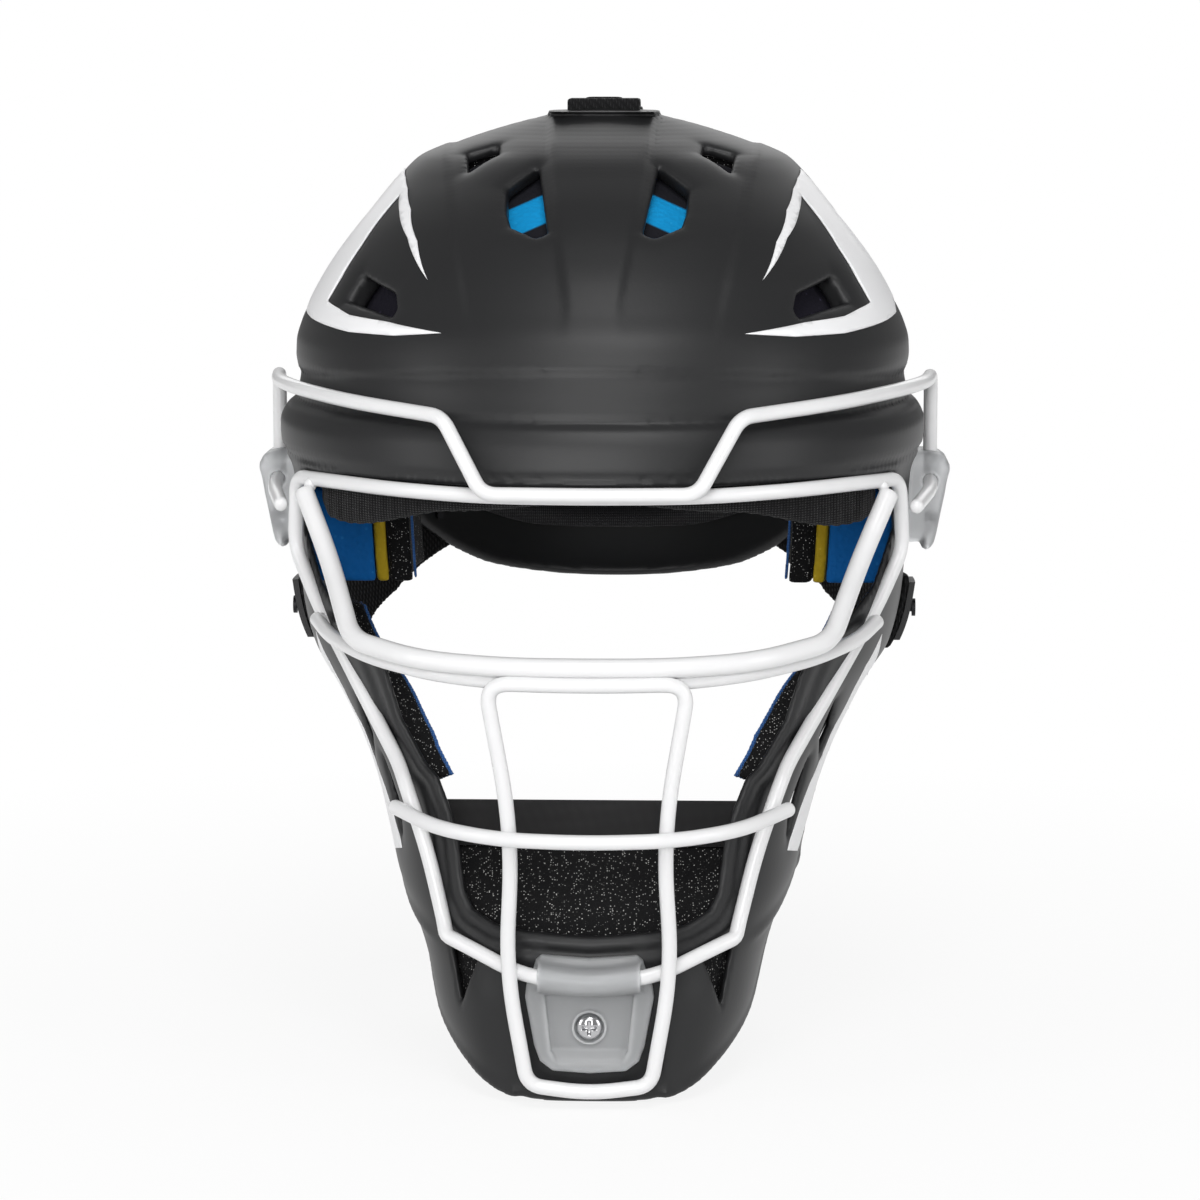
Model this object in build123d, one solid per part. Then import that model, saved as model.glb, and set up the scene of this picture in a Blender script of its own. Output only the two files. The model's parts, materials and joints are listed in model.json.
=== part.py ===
from build123d import *
from math import cos, pi, radians, sin, tan
import os

# Catcher helmet as worn: +Z up, face towards -Y, X across the head.
# The origin lies under the middle of the whole helmet, at the bottom of the chin. Sizes in mm.

# Main sizes of the helmet
shell_height = 309.0
shell_half_width = 108.0
half_depth = 142.0
wall = 3.2

# Clearances
soft_gap = 0.3
lining_gap = 0.5
seat_gap = 0.3
running_gap = 0.05
screw_gap = 0.2
nut_gap = 0.6
cut_overrun = 30.0

# The shell's own form, level by level.
# Each row: height, half width, front, back and middle of the section, and its squareness.
# Heights are shares of shell_height, widths of shell_half_width, depths of half_depth.
section_shares = [
    (-0.020, 0.426, -0.796, -0.140, -0.42, 2.8),
    (0.010, 0.440, -0.813, -0.100, -0.42, 2.8),
    (0.071, 0.472, -0.817, 0.000, -0.39, 2.8),
    (0.130, 0.514, -0.813, 0.110, -0.34, 2.8),
    (0.175, 0.565, -0.803, 0.200, -0.28, 2.8),
    (0.205, 0.622, -0.796, 0.260, -0.23, 2.7),
    (0.246, 0.667, -0.796, 0.340, -0.16, 2.6),
    (0.294, 0.722, -0.796, 0.420, -0.08, 2.5),
    (0.340, 0.778, -0.793, 0.550, -0.02, 2.4),
    (0.388, 0.843, -0.789, 0.730, 0.03, 2.3),
    (0.430, 0.900, -0.782, 0.845, 0.05, 2.2),
    (0.485, 0.935, -0.775, 0.900, 0.05, 2.2),
    (0.550, 0.949, -0.768, 0.935, 0.05, 2.2),
    (0.608, 0.958, -0.764, 0.958, 0.05, 2.2),
    (0.624, 0.970, -0.764, 0.961, 0.05, 2.2),
    (0.638, 0.994, -0.763, 0.963, 0.05, 2.2),
    (0.667, 1.000, -0.753, 0.965, 0.05, 2.2),
    (0.680, 0.986, -0.742, 0.965, 0.05, 2.2),
    (0.696, 0.949, -0.718, 0.964, 0.05, 2.2),
    (0.722, 0.935, -0.704, 0.961, 0.05, 2.2),
    (0.738, 0.944, -0.685, 0.956, 0.05, 2.15),
    (0.751, 0.946, -0.681, 0.950, 0.05, 2.15),
    (0.773, 0.929, -0.660, 0.936, 0.05, 2.15),
    (0.799, 0.894, -0.624, 0.914, 0.06, 2.15),
    (0.825, 0.849, -0.584, 0.885, 0.06, 2.15),
    (0.851, 0.799, -0.537, 0.849, 0.07, 2.15),
    (0.877, 0.744, -0.483, 0.803, 0.08, 2.15),
    (0.903, 0.681, -0.413, 0.740, 0.09, 2.15),
    (0.929, 0.618, -0.322, 0.655, 0.10, 2.15),
    (0.946, 0.565, -0.256, 0.583, 0.10, 2.1),
    (0.961, 0.468, -0.173, 0.495, 0.11, 2.1),
    (0.974, 0.361, -0.080, 0.400, 0.12, 2),
    (0.985, 0.250, 0.000, 0.302, 0.13, 2),
    (0.995, 0.120, 0.066, 0.180, 0.13, 2),
    (1.000, 0.040, 0.105, 0.155, 0.13, 2),
]
dome_start_share = 0.60
least_half_width = 3.0
section_points = 20

# Face opening, right half seen from the front: widths and heights as shares of the shell
opening_shares = [
    (0.00, 0.629),
    (0.72, 0.627),
    (0.880, 0.620),
    (0.897, 0.560),
    (0.862, 0.485),
    (0.713, 0.395),
    (0.583, 0.333),
    (0.528, 0.307),
    (0.472, 0.249),
    (0.417, 0.184),
    (0.370, 0.168),
    (0.306, 0.159),
    (0.00, 0.152),
]
opening_back_share = 0.10
opening_corner = 6.0
chin_vent_back_share = -0.45

# Lower and back edge of the shell seen from the side: depths of half_depth, heights of shell_height
edge_shares = [
    (-0.900, 0.000),
    (-0.795, 0.000),
    (-0.770, 0.006),
    (-0.700, 0.026),
    (-0.613, 0.044),
    (-0.493, 0.071),
    (-0.324, 0.155),
    (-0.232, 0.201),
    (-0.141, 0.246),
    (-0.014, 0.340),
    (0.106, 0.425),
    (0.246, 0.456),
    (0.352, 0.480),
    (0.415, 0.540),
    (0.440, 0.630),
    (0.490, 0.710),
    (0.590, 0.790),
    (0.700, 0.850),
    (0.780, 0.880),
    (0.860, 0.910),
]

# Vents seen from the front, right side: widths and heights as shares of the shell
front_vent_shares = [
    (0.185, 0.952),
    (0.280, 0.930),
    (0.277, 0.905),
    (0.262, 0.888),
    (0.170, 0.873),
    (0.155, 0.888),
    (0.172, 0.915),
]
upper_vent_shares = [(0.315, 0.968), (0.415, 0.950), (0.392, 0.938), (0.305, 0.947)]
front_vent_back_share = -0.05
upper_vent_back_share = 0.10
upper_vent_front_share = -0.26
side_vent_shares = [(0.583, 0.814), (0.707, 0.828), (0.735, 0.817), (0.763, 0.801), (0.611, 0.790), (0.580, 0.801)]
side_vent_back_share = -0.20
# Vents seen from the side: depths of half_depth and heights of shell_height
high_vent_shares = [(0.02, 0.880), (0.18, 0.890), (0.20, 0.840), (0.05, 0.800)]
jaw_vent_upper_shares = [(-0.300, 0.372), (-0.405, 0.362), (-0.360, 0.312)]
jaw_vent_lower_shares = [(-0.340, 0.300), (-0.440, 0.287), (-0.400, 0.220)]
# Chin vents seen from the front
chin_vent_shares = [(0.424, 0.160), (0.333, 0.148), (0.383, 0.098)]
# Ear holes: slots side by side in each ear flap
ear_slot_count = 2
ear_slot_length = 22.0
ear_slot_width = 5.5
ear_slot_step = 10.0
ear_centre_y = 46.0
ear_centre_z = 182.0
# Accessory hole in each jaw side
accessory_radius = 2.2
accessory_y = -22.0
accessory_z = 122.0
accessory_boss_radius = 4.6
accessory_boss_x = 84.5

# Cage: steel wire, with its coating
thin_wire_diameter = 4.76
eye_wire_diameter = 6.35
bend_share = 0.45
# Routes of the wires, right half from the middle outwards.
# Across as shares of shell_half_width, depth of half_depth, height of shell_height.
brow_wire_shares = [
    (0.000, -0.815, 0.627),
    (0.300, -0.800, 0.627),
    (0.440, -0.715, 0.690),
    (0.535, -0.650, 0.703),
    (0.720, -0.530, 0.703),
    (0.905, -0.300, 0.703),
    (1.000, -0.075, 0.703),
    (1.026, 0.140, 0.702),
    (1.026, 0.141, 0.596),
    (1.020, -0.050, 0.592),
    (0.962, -0.293, 0.586),
]
perimeter_wire_shares = [
    (0.000, -0.795, 0.616),
    (0.324, -0.765, 0.6145),
    (0.585, -0.655, 0.6145),
    (0.780, -0.490, 0.613),
    (0.912, -0.325, 0.609),
    (0.945, -0.265, 0.540),
    (0.905, -0.300, 0.485),
    (0.775, -0.455, 0.397),
    (0.640, -0.605, 0.336),
    (0.575, -0.665, 0.310),
    (0.533, -0.685, 0.248),
    (0.470, -0.715, 0.182),
    (0.424, -0.740, 0.166),
    (0.345, -0.778, 0.156),
    (0.201, -0.840, 0.136),
    (0.000, -0.862, 0.128),
]
eye_wire_shares = [
    (0.000, -0.967, 0.459),
    (0.240, -0.955, 0.459),
    (0.480, -0.900, 0.462),
    (0.695, -0.745, 0.472),
    (0.783, -0.530, 0.540),
    (0.872, -0.425, 0.606),
]
cross_wire_shares = [
    (0.000, -0.953, 0.4415),
    (0.240, -0.941, 0.443),
    (0.440, -0.884, 0.447),
    (0.640, -0.740, 0.453),
    (0.790, -0.540, 0.461),
    (0.868, -0.355, 0.470),
]
mouth_wire_shares = [
    (0.000, -0.972, 0.284),
    (0.250, -0.950, 0.285),
    (0.440, -0.855, 0.288),
    (0.610, -0.678, 0.296),
]
nose_wire_shares = [
    (0.000, -0.9845, 0.443),
    (0.290, -0.965, 0.444),
    (0.215, -0.923, 0.290),
    (0.240, -0.855, 0.142),
    (0.180, -0.846, 0.022),
    (0.000, -0.848, 0.014),
]

# Side clips: widths of shell_half_width, heights of shell_height, seen from the front
side_clip_shares = [
    (0.985, 0.628),
    (1.060, 0.628),
    (1.077, 0.612),
    (1.052, 0.560),
    (1.030, 0.524),
    (0.975, 0.512),
    (0.965, 0.560),
]
side_clip_corner = 1.4
side_clip_front = 9.0
side_clip_back = 33.0
side_screw_y = 27.0
side_screw_z = 168.0
side_screw_head_x = 111.0

# Chin clip
chin_clip_width = 40.0
chin_clip_lower_width = 31.0
chin_clip_height = 36.0
chin_clip_thickness = 4.0
chin_clip_corner = 4.0
chin_clip_top = 46.5
chin_clip_shoulder = 40.0
chin_clip_pocket_flare = 3.0
chin_clip_pocket_depth = 1.4
chin_clip_pocket_margin = 6.0
chin_clip_pocket_height = 18.0
chin_knuckle_wall = 2.2
chin_knuckle_width = 37.0
chin_screw_z = 25.0

# Screws and nuts of the three clips
screw_head_radius = 4.0
screw_crown_share = 0.6
screw_length = 13.0
counterbore_depth = 1.0
screw_head_height = 2.4
screw_shank_radius = 1.9
cross_recess_length = 4.4
cross_recess_width = 1.0
cross_recess_depth = 1.2
nut_flange_radius = 6.5
nut_flange_thickness = 1.2
nut_barrel_radius = 3.0
nut_barrel_length = 3.0
# Where the wall lies at the clips: depth of the chin, width at the side screws
chin_front_share = 0.817
side_wall_share = 0.937

# Foam layers inside the shell
blue_foam = 21.0
yellow_foam = 4.0
liner_foam = 8.5
layer_gap = 0.3
crown_foam = 14.0
jaw_foam = 12.0
brow_foam = 13.0
plate_foam = 12.0
# Where the foam pieces lie: low and high y, low and high z
temple_front = -18.0
temple_back = 34.0
temple_low = 152.0
temple_high = 184.0
crown_split_x = 46.0
crown_split_y = -8.0
crown_back = 78.0
crown_low = 228.0
side_foam_front = -62.0
side_foam_back = 72.0
side_foam_high = 284.0
brow_low = 184.0
brow_high = 222.0
brow_back = -18.0
brow_strip_half_width = 10.0
brow_strip_foam = 2.0
# Jaw pads and chin pad seen from the side: depths of half_depth, heights of shell_height
jaw_pad_shares = [(-0.06, 0.470), (-0.22, 0.476), (-0.52, 0.360), (-0.58, 0.318), (-0.50, 0.303), (-0.30, 0.335)]
chin_pad_shares = [
    (-0.77, 0.035),
    (-0.77, 0.152),
    (-0.70, 0.205),
    (-0.53, 0.280),
    (-0.44, 0.280),
    (-0.43, 0.220),
    (-0.52, 0.140),
    (-0.60, 0.060),
]
chin_liner_shares = [(-0.70, 0.208), (-0.53, 0.283), (-0.54, 0.292), (-0.715, 0.214)]
chin_pad_half_width = 52.0

# Back plate and its pad seen from the side: depths of half_depth, heights of shell_height
plate_shares = [
    (1.10, 0.409),
    (0.92, 0.417),
    (0.80, 0.458),
    (0.66, 0.535),
    (0.555, 0.620),
    (0.555, 0.700),
    (0.650, 0.775),
    (0.755, 0.832),
    (0.820, 0.856),
    (0.900, 0.884),
    (1.10, 0.884),
]
plate_pad_shares = [
    (1.10, 0.455),
    (0.84, 0.500),
    (0.70, 0.560),
    (0.62, 0.630),
    (0.62, 0.690),
    (0.70, 0.755),
    (0.80, 0.810),
    (1.10, 0.830),
]

# Straps
strap_width = 25.4
strap_thickness = 2.0
strap_front_y = 16.0
strap_joint_y = 111.0
strap_joint_z = 276.0
strap_end_z = 222.0
anchor_width = 36.0
anchor_length = 12.0
anchor_height = 2.2
buckle_width = 34.0
buckle_low_z = 226.0
buckle_high_z = 246.0
buckle_thickness = 2.4
# Side straps seen from the side: depths of half_depth, heights of shell_height
side_strap_shares = [
    (0.045, 0.411),
    (0.220, 0.404),
    (0.420, 0.406),
    (0.600, 0.436),
    (0.800, 0.486),
    (0.800, 0.560),
    (0.600, 0.514),
    (0.420, 0.486),
    (0.220, 0.486),
    (0.045, 0.492),
]
keeper_shares = [(0.045, 0.420), (0.150, 0.420), (0.150, 0.484), (0.045, 0.484)]
keeper_thickness = 2.0
hook_shares = [(0.720, 0.486), (0.790, 0.500), (0.790, 0.548), (0.720, 0.530)]
rivet_radius = 3.0
rivet_head = 1.2
rivet_length = 9.0
rivet_proud = 0.8
# Where the rivets cross the outer face of the shell and of the plate
keeper_rivet_x = 99.3
keeper_rivet_y = 14.0
keeper_rivet_z = 140.0
hook_rivet_x = 65.0
hook_rivet_y = 107.0
hook_rivet_z = 160.0
hook_rivet_turn = 48.0
plate_wall = 3.0
brow_half_width_share = 0.870

# Sizes that follow from the ones above
dome_start = dome_start_share * shell_height
strap_top = shell_height + cut_overrun
lining = wall + lining_gap
keeper_rivet_place = (keeper_rivet_x, keeper_rivet_y, keeper_rivet_z)
hook_rivet_place = (hook_rivet_x, hook_rivet_y, hook_rivet_z)


def section(row, inset):
    """One level of the helmet's form, drawn in by inset, or nothing where the form has closed."""
    height_share, width_share, front_share, back_share, middle_share, power = row
    z = height_share * shell_height
    if z > dome_start:
        z = dome_start + (z - dome_start) * (shell_height - inset - dome_start) / (shell_height - dome_start)
    middle = middle_share * half_depth
    half_width = width_share * shell_half_width - inset
    front = middle - front_share * half_depth - inset
    back = back_share * half_depth - middle - inset
    if min(half_width, front, back) < least_half_width:
        return None
    points = []
    for step in range(section_points):
        turn = 2 * pi * step / section_points
        across = abs(cos(turn)) ** (2 / power)
        along = abs(sin(turn)) ** (2 / power)
        x = half_width * (across if cos(turn) > 0 else -across)
        y = middle + (back * along if sin(turn) > 0 else -front * along)
        points.append((x, y, z))
    return make_face(Spline(*points, periodic=True))


made_forms = {}


def form(inset, low=-1.0, high=2.0):
    """The helmet's closed outer form, drawn in by inset, over the levels from low to high."""
    key = (inset, low, high)
    if key not in made_forms:
        levels = [row for row in section_shares if low <= row[0] <= high]
        sections = [section(row, inset) for row in levels]
        made_forms[key] = loft([face for face in sections if face is not None])
    return made_forms[key]


# Stretches of the form that the inner and outer pieces follow, as shares of shell_height
chin_levels = (-0.1, 0.45)
jaw_levels = (0.17, 0.62)
temple_levels = (0.24, 0.78)
brow_levels = (0.38, 0.83)
crown_levels = (0.66, 1.01)
plate_levels = (0.34, 0.95)


def layer_piece(outer_inset, thickness, levels, region):
    """The part of a layer along the form that lies inside a region."""
    return (region & form(outer_inset, *levels)) - form(outer_inset + thickness, *levels)


def side_points(shares):
    return [(depth * half_depth, height * shell_height) for depth, height in shares]


def front_points(shares):
    return [(width * shell_half_width, height * shell_height) for width, height in shares]


def side_prism(shares, low_x, high_x, corner=0.0):
    """An outline seen from the side, carried across the helmet from low_x to high_x."""
    outline = Polyline(*side_points(shares), close=True)
    if corner > 0:
        outline = FilletPolyline(*side_points(shares), radius=corner, close=True)
    face = Plane.YZ * make_face(outline)
    return Pos(low_x, 0, 0) * extrude(face, amount=high_x - low_x)


def front_prism(points, low_y, high_y, corner=0.0):
    """An outline seen from the front, carried back from low_y to high_y."""
    outline = Polyline(*points, close=True)
    if corner > 0:
        outline = FilletPolyline(*points, radius=corner, close=True)
    face = Plane.XZ * make_face(outline)
    return Pos(0, high_y, 0) * extrude(face, amount=high_y - low_y)


def block(low, high):
    """A box between two corners."""
    size = [high[axis] - low[axis] for axis in range(3)]
    middle = [(high[axis] + low[axis]) / 2 for axis in range(3)]
    return Pos(*middle) * Box(*size)


def rod_x(radius, low_x, high_x, y, z):
    """A round rod along X."""
    return Pos((low_x + high_x) / 2, y, z) * Rot(0, 90, 0) * Cylinder(radius, high_x - low_x)


def rod_y(radius, low_y, high_y, x, z):
    """A round rod along Y."""
    return Pos(x, (low_y + high_y) / 2, z) * Rot(90, 0, 0) * Cylinder(radius, high_y - low_y)


def both_sides(right):
    """The right-hand piece and its mirror image as one group of solids."""
    return Compound(children=right.solids() + mirror(right, Plane.YZ).solids())


def wire_route(half_shares, closed):
    """The wire's points from the left end to the right end, or once round a closed loop."""
    right = []
    for width, depth, height in half_shares:
        right.append(Vector(width * shell_half_width, depth * half_depth, height * shell_height))
    left = [Vector(-point.X, point.Y, point.Z) for point in right if point.X > 0]
    left.reverse()
    middle_start = [point for point in right if point.X == 0]
    if closed:
        return middle_start[:1] + right[1:-1] + middle_start[1:] + left
    return left + right


def bend_radii(points, closed):
    """The largest even bend at each point that its two runs allow."""
    count = len(points)
    inner = range(count) if closed else range(1, count - 1)
    radii = []
    for index in inner:
        before = points[index] - points[index - 1]
        after = points[(index + 1) % count] - points[index]
        half_turn = radians(before.get_angle(after)) / 2
        radii.append(bend_share * min(before.length, after.length) / max(tan(half_turn), bend_share / 10))
    return radii


def round_wire(half_shares, diameter, closed=False):
    """A bent round wire along its route."""
    points = wire_route(half_shares, closed)
    path = FilletPolyline(*points, radius=bend_radii(points, closed), close=closed)
    return sweep(Plane(path @ 0, z_dir=path % 0) * Circle(diameter / 2), path=path)


def make_shell_cuts():
    """Everything that is cut out of the shell's wall, right side and middle."""
    low = -half_depth - cut_overrun
    reach = shell_half_width + cut_overrun
    chin_back = chin_vent_back_share * half_depth
    cuts = [
        front_prism(front_points(front_vent_shares), low, front_vent_back_share * half_depth),
        front_prism(
            front_points(upper_vent_shares),
            upper_vent_front_share * half_depth,
            upper_vent_back_share * half_depth,
        ),
        front_prism(front_points(side_vent_shares), low, side_vent_back_share * half_depth),
        front_prism(front_points(chin_vent_shares), low, chin_back),
    ]
    for shares in (high_vent_shares, jaw_vent_upper_shares, jaw_vent_lower_shares):
        cuts.append(side_prism(shares, 0, reach))
    for slot in range(ear_slot_count):
        y = ear_centre_y + (slot - (ear_slot_count - 1) / 2) * ear_slot_step
        place = Pos(reach / 2, y, ear_centre_z) * Rot(0, 90, 0)
        cuts.append(place * extrude(SlotOverall(ear_slot_length, ear_slot_width), amount=reach / 2))
    cuts.append(rod_x(accessory_radius, 0, reach, accessory_y, accessory_z))
    cuts.append(rod_x(nut_barrel_radius + screw_gap, shell_half_width / 2, reach, side_screw_y, side_screw_z))
    cuts.append(rod_x(rivet_radius / 2 + screw_gap, shell_half_width / 2, reach, keeper_rivet_y, keeper_rivet_z))
    return cuts


def make_main_shell():
    low = -half_depth - cut_overrun
    reach = shell_half_width + cut_overrun
    outline = front_points(opening_shares)
    outline += [(-x, z) for x, z in reversed(outline[1:-1])]
    opening = front_prism(outline, low, opening_back_share * half_depth, opening_corner)
    edge = side_points(edge_shares)
    below = [(-low, edge[-1][1]), (-low, low), (low, low), (low, edge[0][1])]
    below_face = make_face(Polyline(*edge, *below, close=True))
    below_edge = Pos(-reach, 0, 0) * extrude(Plane.YZ * below_face, amount=2 * reach)
    shell = form(0) - below_edge - opening
    shell -= form(wall)
    boss = rod_x(accessory_boss_radius, accessory_boss_x, reach, accessory_y, accessory_z)
    shell += both_sides(boss & form(wall / 2, *jaw_levels))
    cuts = make_shell_cuts()
    cuts += [mirror(cut, Plane.YZ) for cut in cuts]
    chin_back = chin_vent_back_share * half_depth
    cuts.append(rod_y(nut_barrel_radius + screw_gap, low, chin_back, 0, chin_screw_z))
    return shell - cuts


def screw(head_front):
    """A pan-head cross-recess screw along -Z, its head on top, seat at Z = 0."""
    body = Pos(0, 0, screw_head_height / 2) * Cylinder(screw_head_radius, screw_head_height)
    body = fillet(body.edges().sort_by(Axis.Z)[-1], screw_head_height * screw_crown_share)
    body += Pos(0, 0, -screw_length / 2) * Cylinder(screw_shank_radius, screw_length)
    recess_z = screw_head_height - cross_recess_depth / 2
    for turn in (0, 90):
        body -= Pos(0, 0, recess_z) * Rot(0, 0, turn) * Box(cross_recess_length, cross_recess_width, cross_recess_depth)
    return head_front * body


def tee_nut(flange_place):
    """A flanged nut: flange on top of its barrel, flange underside at Z = 0, barrel towards -Z."""
    body = Pos(0, 0, nut_flange_thickness / 2) * Cylinder(nut_flange_radius, nut_flange_thickness)
    body += Pos(0, 0, -nut_barrel_length / 2) * Cylinder(nut_barrel_radius, nut_barrel_length)
    reach = nut_flange_thickness + nut_barrel_length
    body -= Cylinder(screw_shank_radius + running_gap, 2 * reach)
    return flange_place * body


chin_front = -chin_front_share * half_depth
chin_clip_back = chin_front - seat_gap
chin_clip_front = chin_clip_back - chin_clip_thickness
chin_screw_place = Pos(0, chin_clip_front + counterbore_depth, chin_screw_z) * Rot(90, 0, 0)
side_screw_place = Pos(side_screw_head_x, side_screw_y, side_screw_z) * Rot(0, 90, 0)
chin_nut_place = Pos(0, chin_front + wall + nut_gap, chin_screw_z) * Rot(-90, 0, 0)
side_nut_x = side_wall_share * shell_half_width - wall - nut_gap
side_nut_place = Pos(side_nut_x, side_screw_y, side_screw_z) * Rot(0, -90, 0)


def make_clip_screws():
    side = screw(side_screw_place)
    return Compound(children=[*screw(chin_screw_place).solids(), *side.solids(), *mirror(side, Plane.YZ).solids()])


def make_clip_nuts():
    side = tee_nut(side_nut_place)
    return Compound(children=[*tee_nut(chin_nut_place).solids(), *side.solids(), *mirror(side, Plane.YZ).solids()])


def make_side_clip():
    clip = front_prism(front_points(side_clip_shares), side_clip_front, side_clip_back, side_clip_corner)
    clip -= form(-seat_gap, *temple_levels)
    clip -= round_wire(brow_wire_shares, thin_wire_diameter + 2 * running_gap)
    clip -= side_screw_place * Cylinder(screw_shank_radius + screw_gap, 2 * screw_length)
    counterbore = Pos(0, 0, screw_head_height) * Cylinder(screw_head_radius + screw_gap, 2 * screw_head_height)
    clip -= side_screw_place * counterbore
    return clip


def make_chin_clip():
    low = chin_clip_top - chin_clip_height
    outline = [
        (-chin_clip_width / 2, chin_clip_shoulder),
        (-chin_clip_lower_width / 2, low),
        (chin_clip_lower_width / 2, low),
        (chin_clip_width / 2, chin_clip_shoulder),
    ]
    plate = front_prism(outline, chin_clip_front, chin_clip_back, chin_clip_corner)
    pocket_half = chin_clip_lower_width / 2 - chin_clip_pocket_margin
    pocket_low = low + chin_clip_pocket_margin
    pocket = [
        (-pocket_half, pocket_low),
        (pocket_half, pocket_low),
        (pocket_half + chin_clip_pocket_flare, pocket_low + chin_clip_pocket_height),
        (-pocket_half - chin_clip_pocket_flare, pocket_low + chin_clip_pocket_height),
    ]
    pocket_back = chin_clip_front + chin_clip_pocket_depth
    plate -= front_prism(pocket, chin_clip_front - cut_overrun, pocket_back, chin_clip_pocket_margin / 3)
    knuckle = round_wire(perimeter_wire_shares, thin_wire_diameter + 2 * chin_knuckle_wall, closed=True)
    half = chin_knuckle_width / 2
    knuckle &= block((-half, -half_depth, chin_clip_shoulder - half), (half, chin_clip_back, chin_clip_top + half))
    clip = plate + knuckle
    clip -= round_wire(perimeter_wire_shares, thin_wire_diameter + 2 * running_gap, closed=True)
    clip -= chin_screw_place * Cylinder(screw_shank_radius + screw_gap, 2 * screw_length)
    clip -= chin_screw_place * Pos(0, 0, screw_head_height) * Cylinder(
        screw_head_radius + screw_gap, 2 * screw_head_height
    )
    return clip


def nut_room(nut_place, screw_place):
    """The space round a nut and its screw that the foam leaves free."""
    flange_room = Cylinder(nut_flange_radius + soft_gap, 2 * (nut_flange_thickness + soft_gap))
    shank_room = Cylinder(screw_shank_radius + soft_gap, 2 * (screw_length + soft_gap))
    return [nut_place * flange_room, screw_place * shank_room]


def make_temple_layer(inset, thickness):
    """One foam layer of the right temple pad."""
    region = block((shell_half_width / 3, temple_front, temple_low), (shell_half_width, temple_back, temple_high))
    pad = layer_piece(inset, thickness, temple_levels, region)
    return pad - nut_room(side_nut_place, side_screw_place)


def make_crown_piece(low, high):
    return layer_piece(lining, crown_foam, crown_levels, block(low, high))


def make_chin_pad():
    region = side_prism(chin_pad_shares, -chin_pad_half_width, chin_pad_half_width)
    return (region & form(lining, *chin_levels)) - nut_room(chin_nut_place, chin_screw_place)


def make_chin_liner():
    region = side_prism(chin_liner_shares, -chin_pad_half_width, chin_pad_half_width)
    return region & form(lining, *chin_levels)


def make_jaw_pad():
    region = side_prism(jaw_pad_shares, shell_half_width / 4, shell_half_width)
    boss_room = rod_x(accessory_boss_radius + soft_gap, 0, shell_half_width, accessory_y, accessory_z)
    return layer_piece(lining, jaw_foam, jaw_levels, region) - boss_room


def make_brow_pad():
    reach = brow_half_width_share * shell_half_width
    region = block((-reach, -half_depth, brow_low), (reach, brow_back, brow_high))
    return layer_piece(lining, brow_foam, brow_levels, region)


def make_brow_strip():
    half = brow_strip_half_width
    region = block((-half, -half_depth, brow_low), (half, 0, (brow_low + brow_high) / 2))
    return layer_piece(lining + brow_foam + layer_gap, brow_strip_foam, brow_levels, region)


def rivet_pin(radius, place, turn, length):
    """A round pin across the wall at a point of the form, turned from +X towards +Y."""
    return Pos(*place) * Rot(0, 0, turn) * Rot(0, 90, 0) * Cylinder(radius, length)


def both_hook_pins(radius):
    pin = rivet_pin(radius, hook_rivet_place, hook_rivet_turn, 2 * rivet_length)
    return [pin, mirror(pin, Plane.YZ)]


def make_back_plate():
    reach = shell_half_width + cut_overrun
    plate = layer_piece(0, plate_wall, plate_levels, side_prism(plate_shares, -reach, reach))
    return plate - both_hook_pins(rivet_radius / 2 + screw_gap)


def make_plate_pad():
    reach = shell_half_width + cut_overrun
    region = side_prism(plate_pad_shares, -reach, reach)
    pad = layer_piece(plate_wall + lining_gap, plate_foam, plate_levels, region)
    return pad - both_hook_pins(rivet_radius / 2 + soft_gap)


def strap_piece(levels, region):
    """A stretch of webbing that lies on the form."""
    return layer_piece(-lining_gap - strap_thickness, strap_thickness, levels, region)


def make_crown_strap():
    half = strap_width / 2
    region = block((-half, strap_front_y, crown_low), (half, strap_joint_y - soft_gap, strap_top))
    return strap_piece(crown_levels, region)


def make_plate_strap():
    half = strap_width / 2
    region = block((-half, strap_joint_y + soft_gap, strap_end_z), (half, strap_top, strap_joint_z))
    return strap_piece(crown_levels, region)


def make_strap_anchor():
    half = anchor_width / 2
    tunnel_half = strap_width / 2 + seat_gap
    top = shell_height + lining_gap + strap_thickness + seat_gap
    front = strap_front_y - anchor_length / 3
    back = front + anchor_length
    bridge = block((-half, front, crown_low), (half, back, top + anchor_height)) - form(-seat_gap, *crown_levels)
    bridge = fillet(bridge.edges().filter_by(Axis.Y).group_by(Axis.Z)[-1], anchor_height / 2)
    return bridge - block((-tunnel_half, front - cut_overrun, crown_low), (tunnel_half, back + cut_overrun, top))


def make_plate_buckle():
    half = buckle_width / 2
    outer_inset = -(lining_gap + seat_gap + strap_thickness + buckle_thickness)
    region = block((-half, 0, buckle_low_z), (half, strap_top, buckle_high_z))
    ring = layer_piece(outer_inset, buckle_thickness, crown_levels, region)
    window_half = strap_width / 2 + seat_gap
    bar = (buckle_high_z - buckle_low_z) / 5
    windows = []
    for row in (1, 3):
        low = buckle_low_z + row * bar
        windows.append(block((-window_half, 0, low), (window_half, strap_top, low + bar)))
    return ring - windows


def make_side_strap():
    strap = strap_piece(plate_levels, side_prism(side_strap_shares, 0, shell_half_width + cut_overrun))
    radius = rivet_radius / 2 + screw_gap
    return strap - [
        rivet_pin(radius, keeper_rivet_place, 0, 2 * rivet_length),
        rivet_pin(radius, hook_rivet_place, hook_rivet_turn, 2 * rivet_length),
    ]


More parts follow.
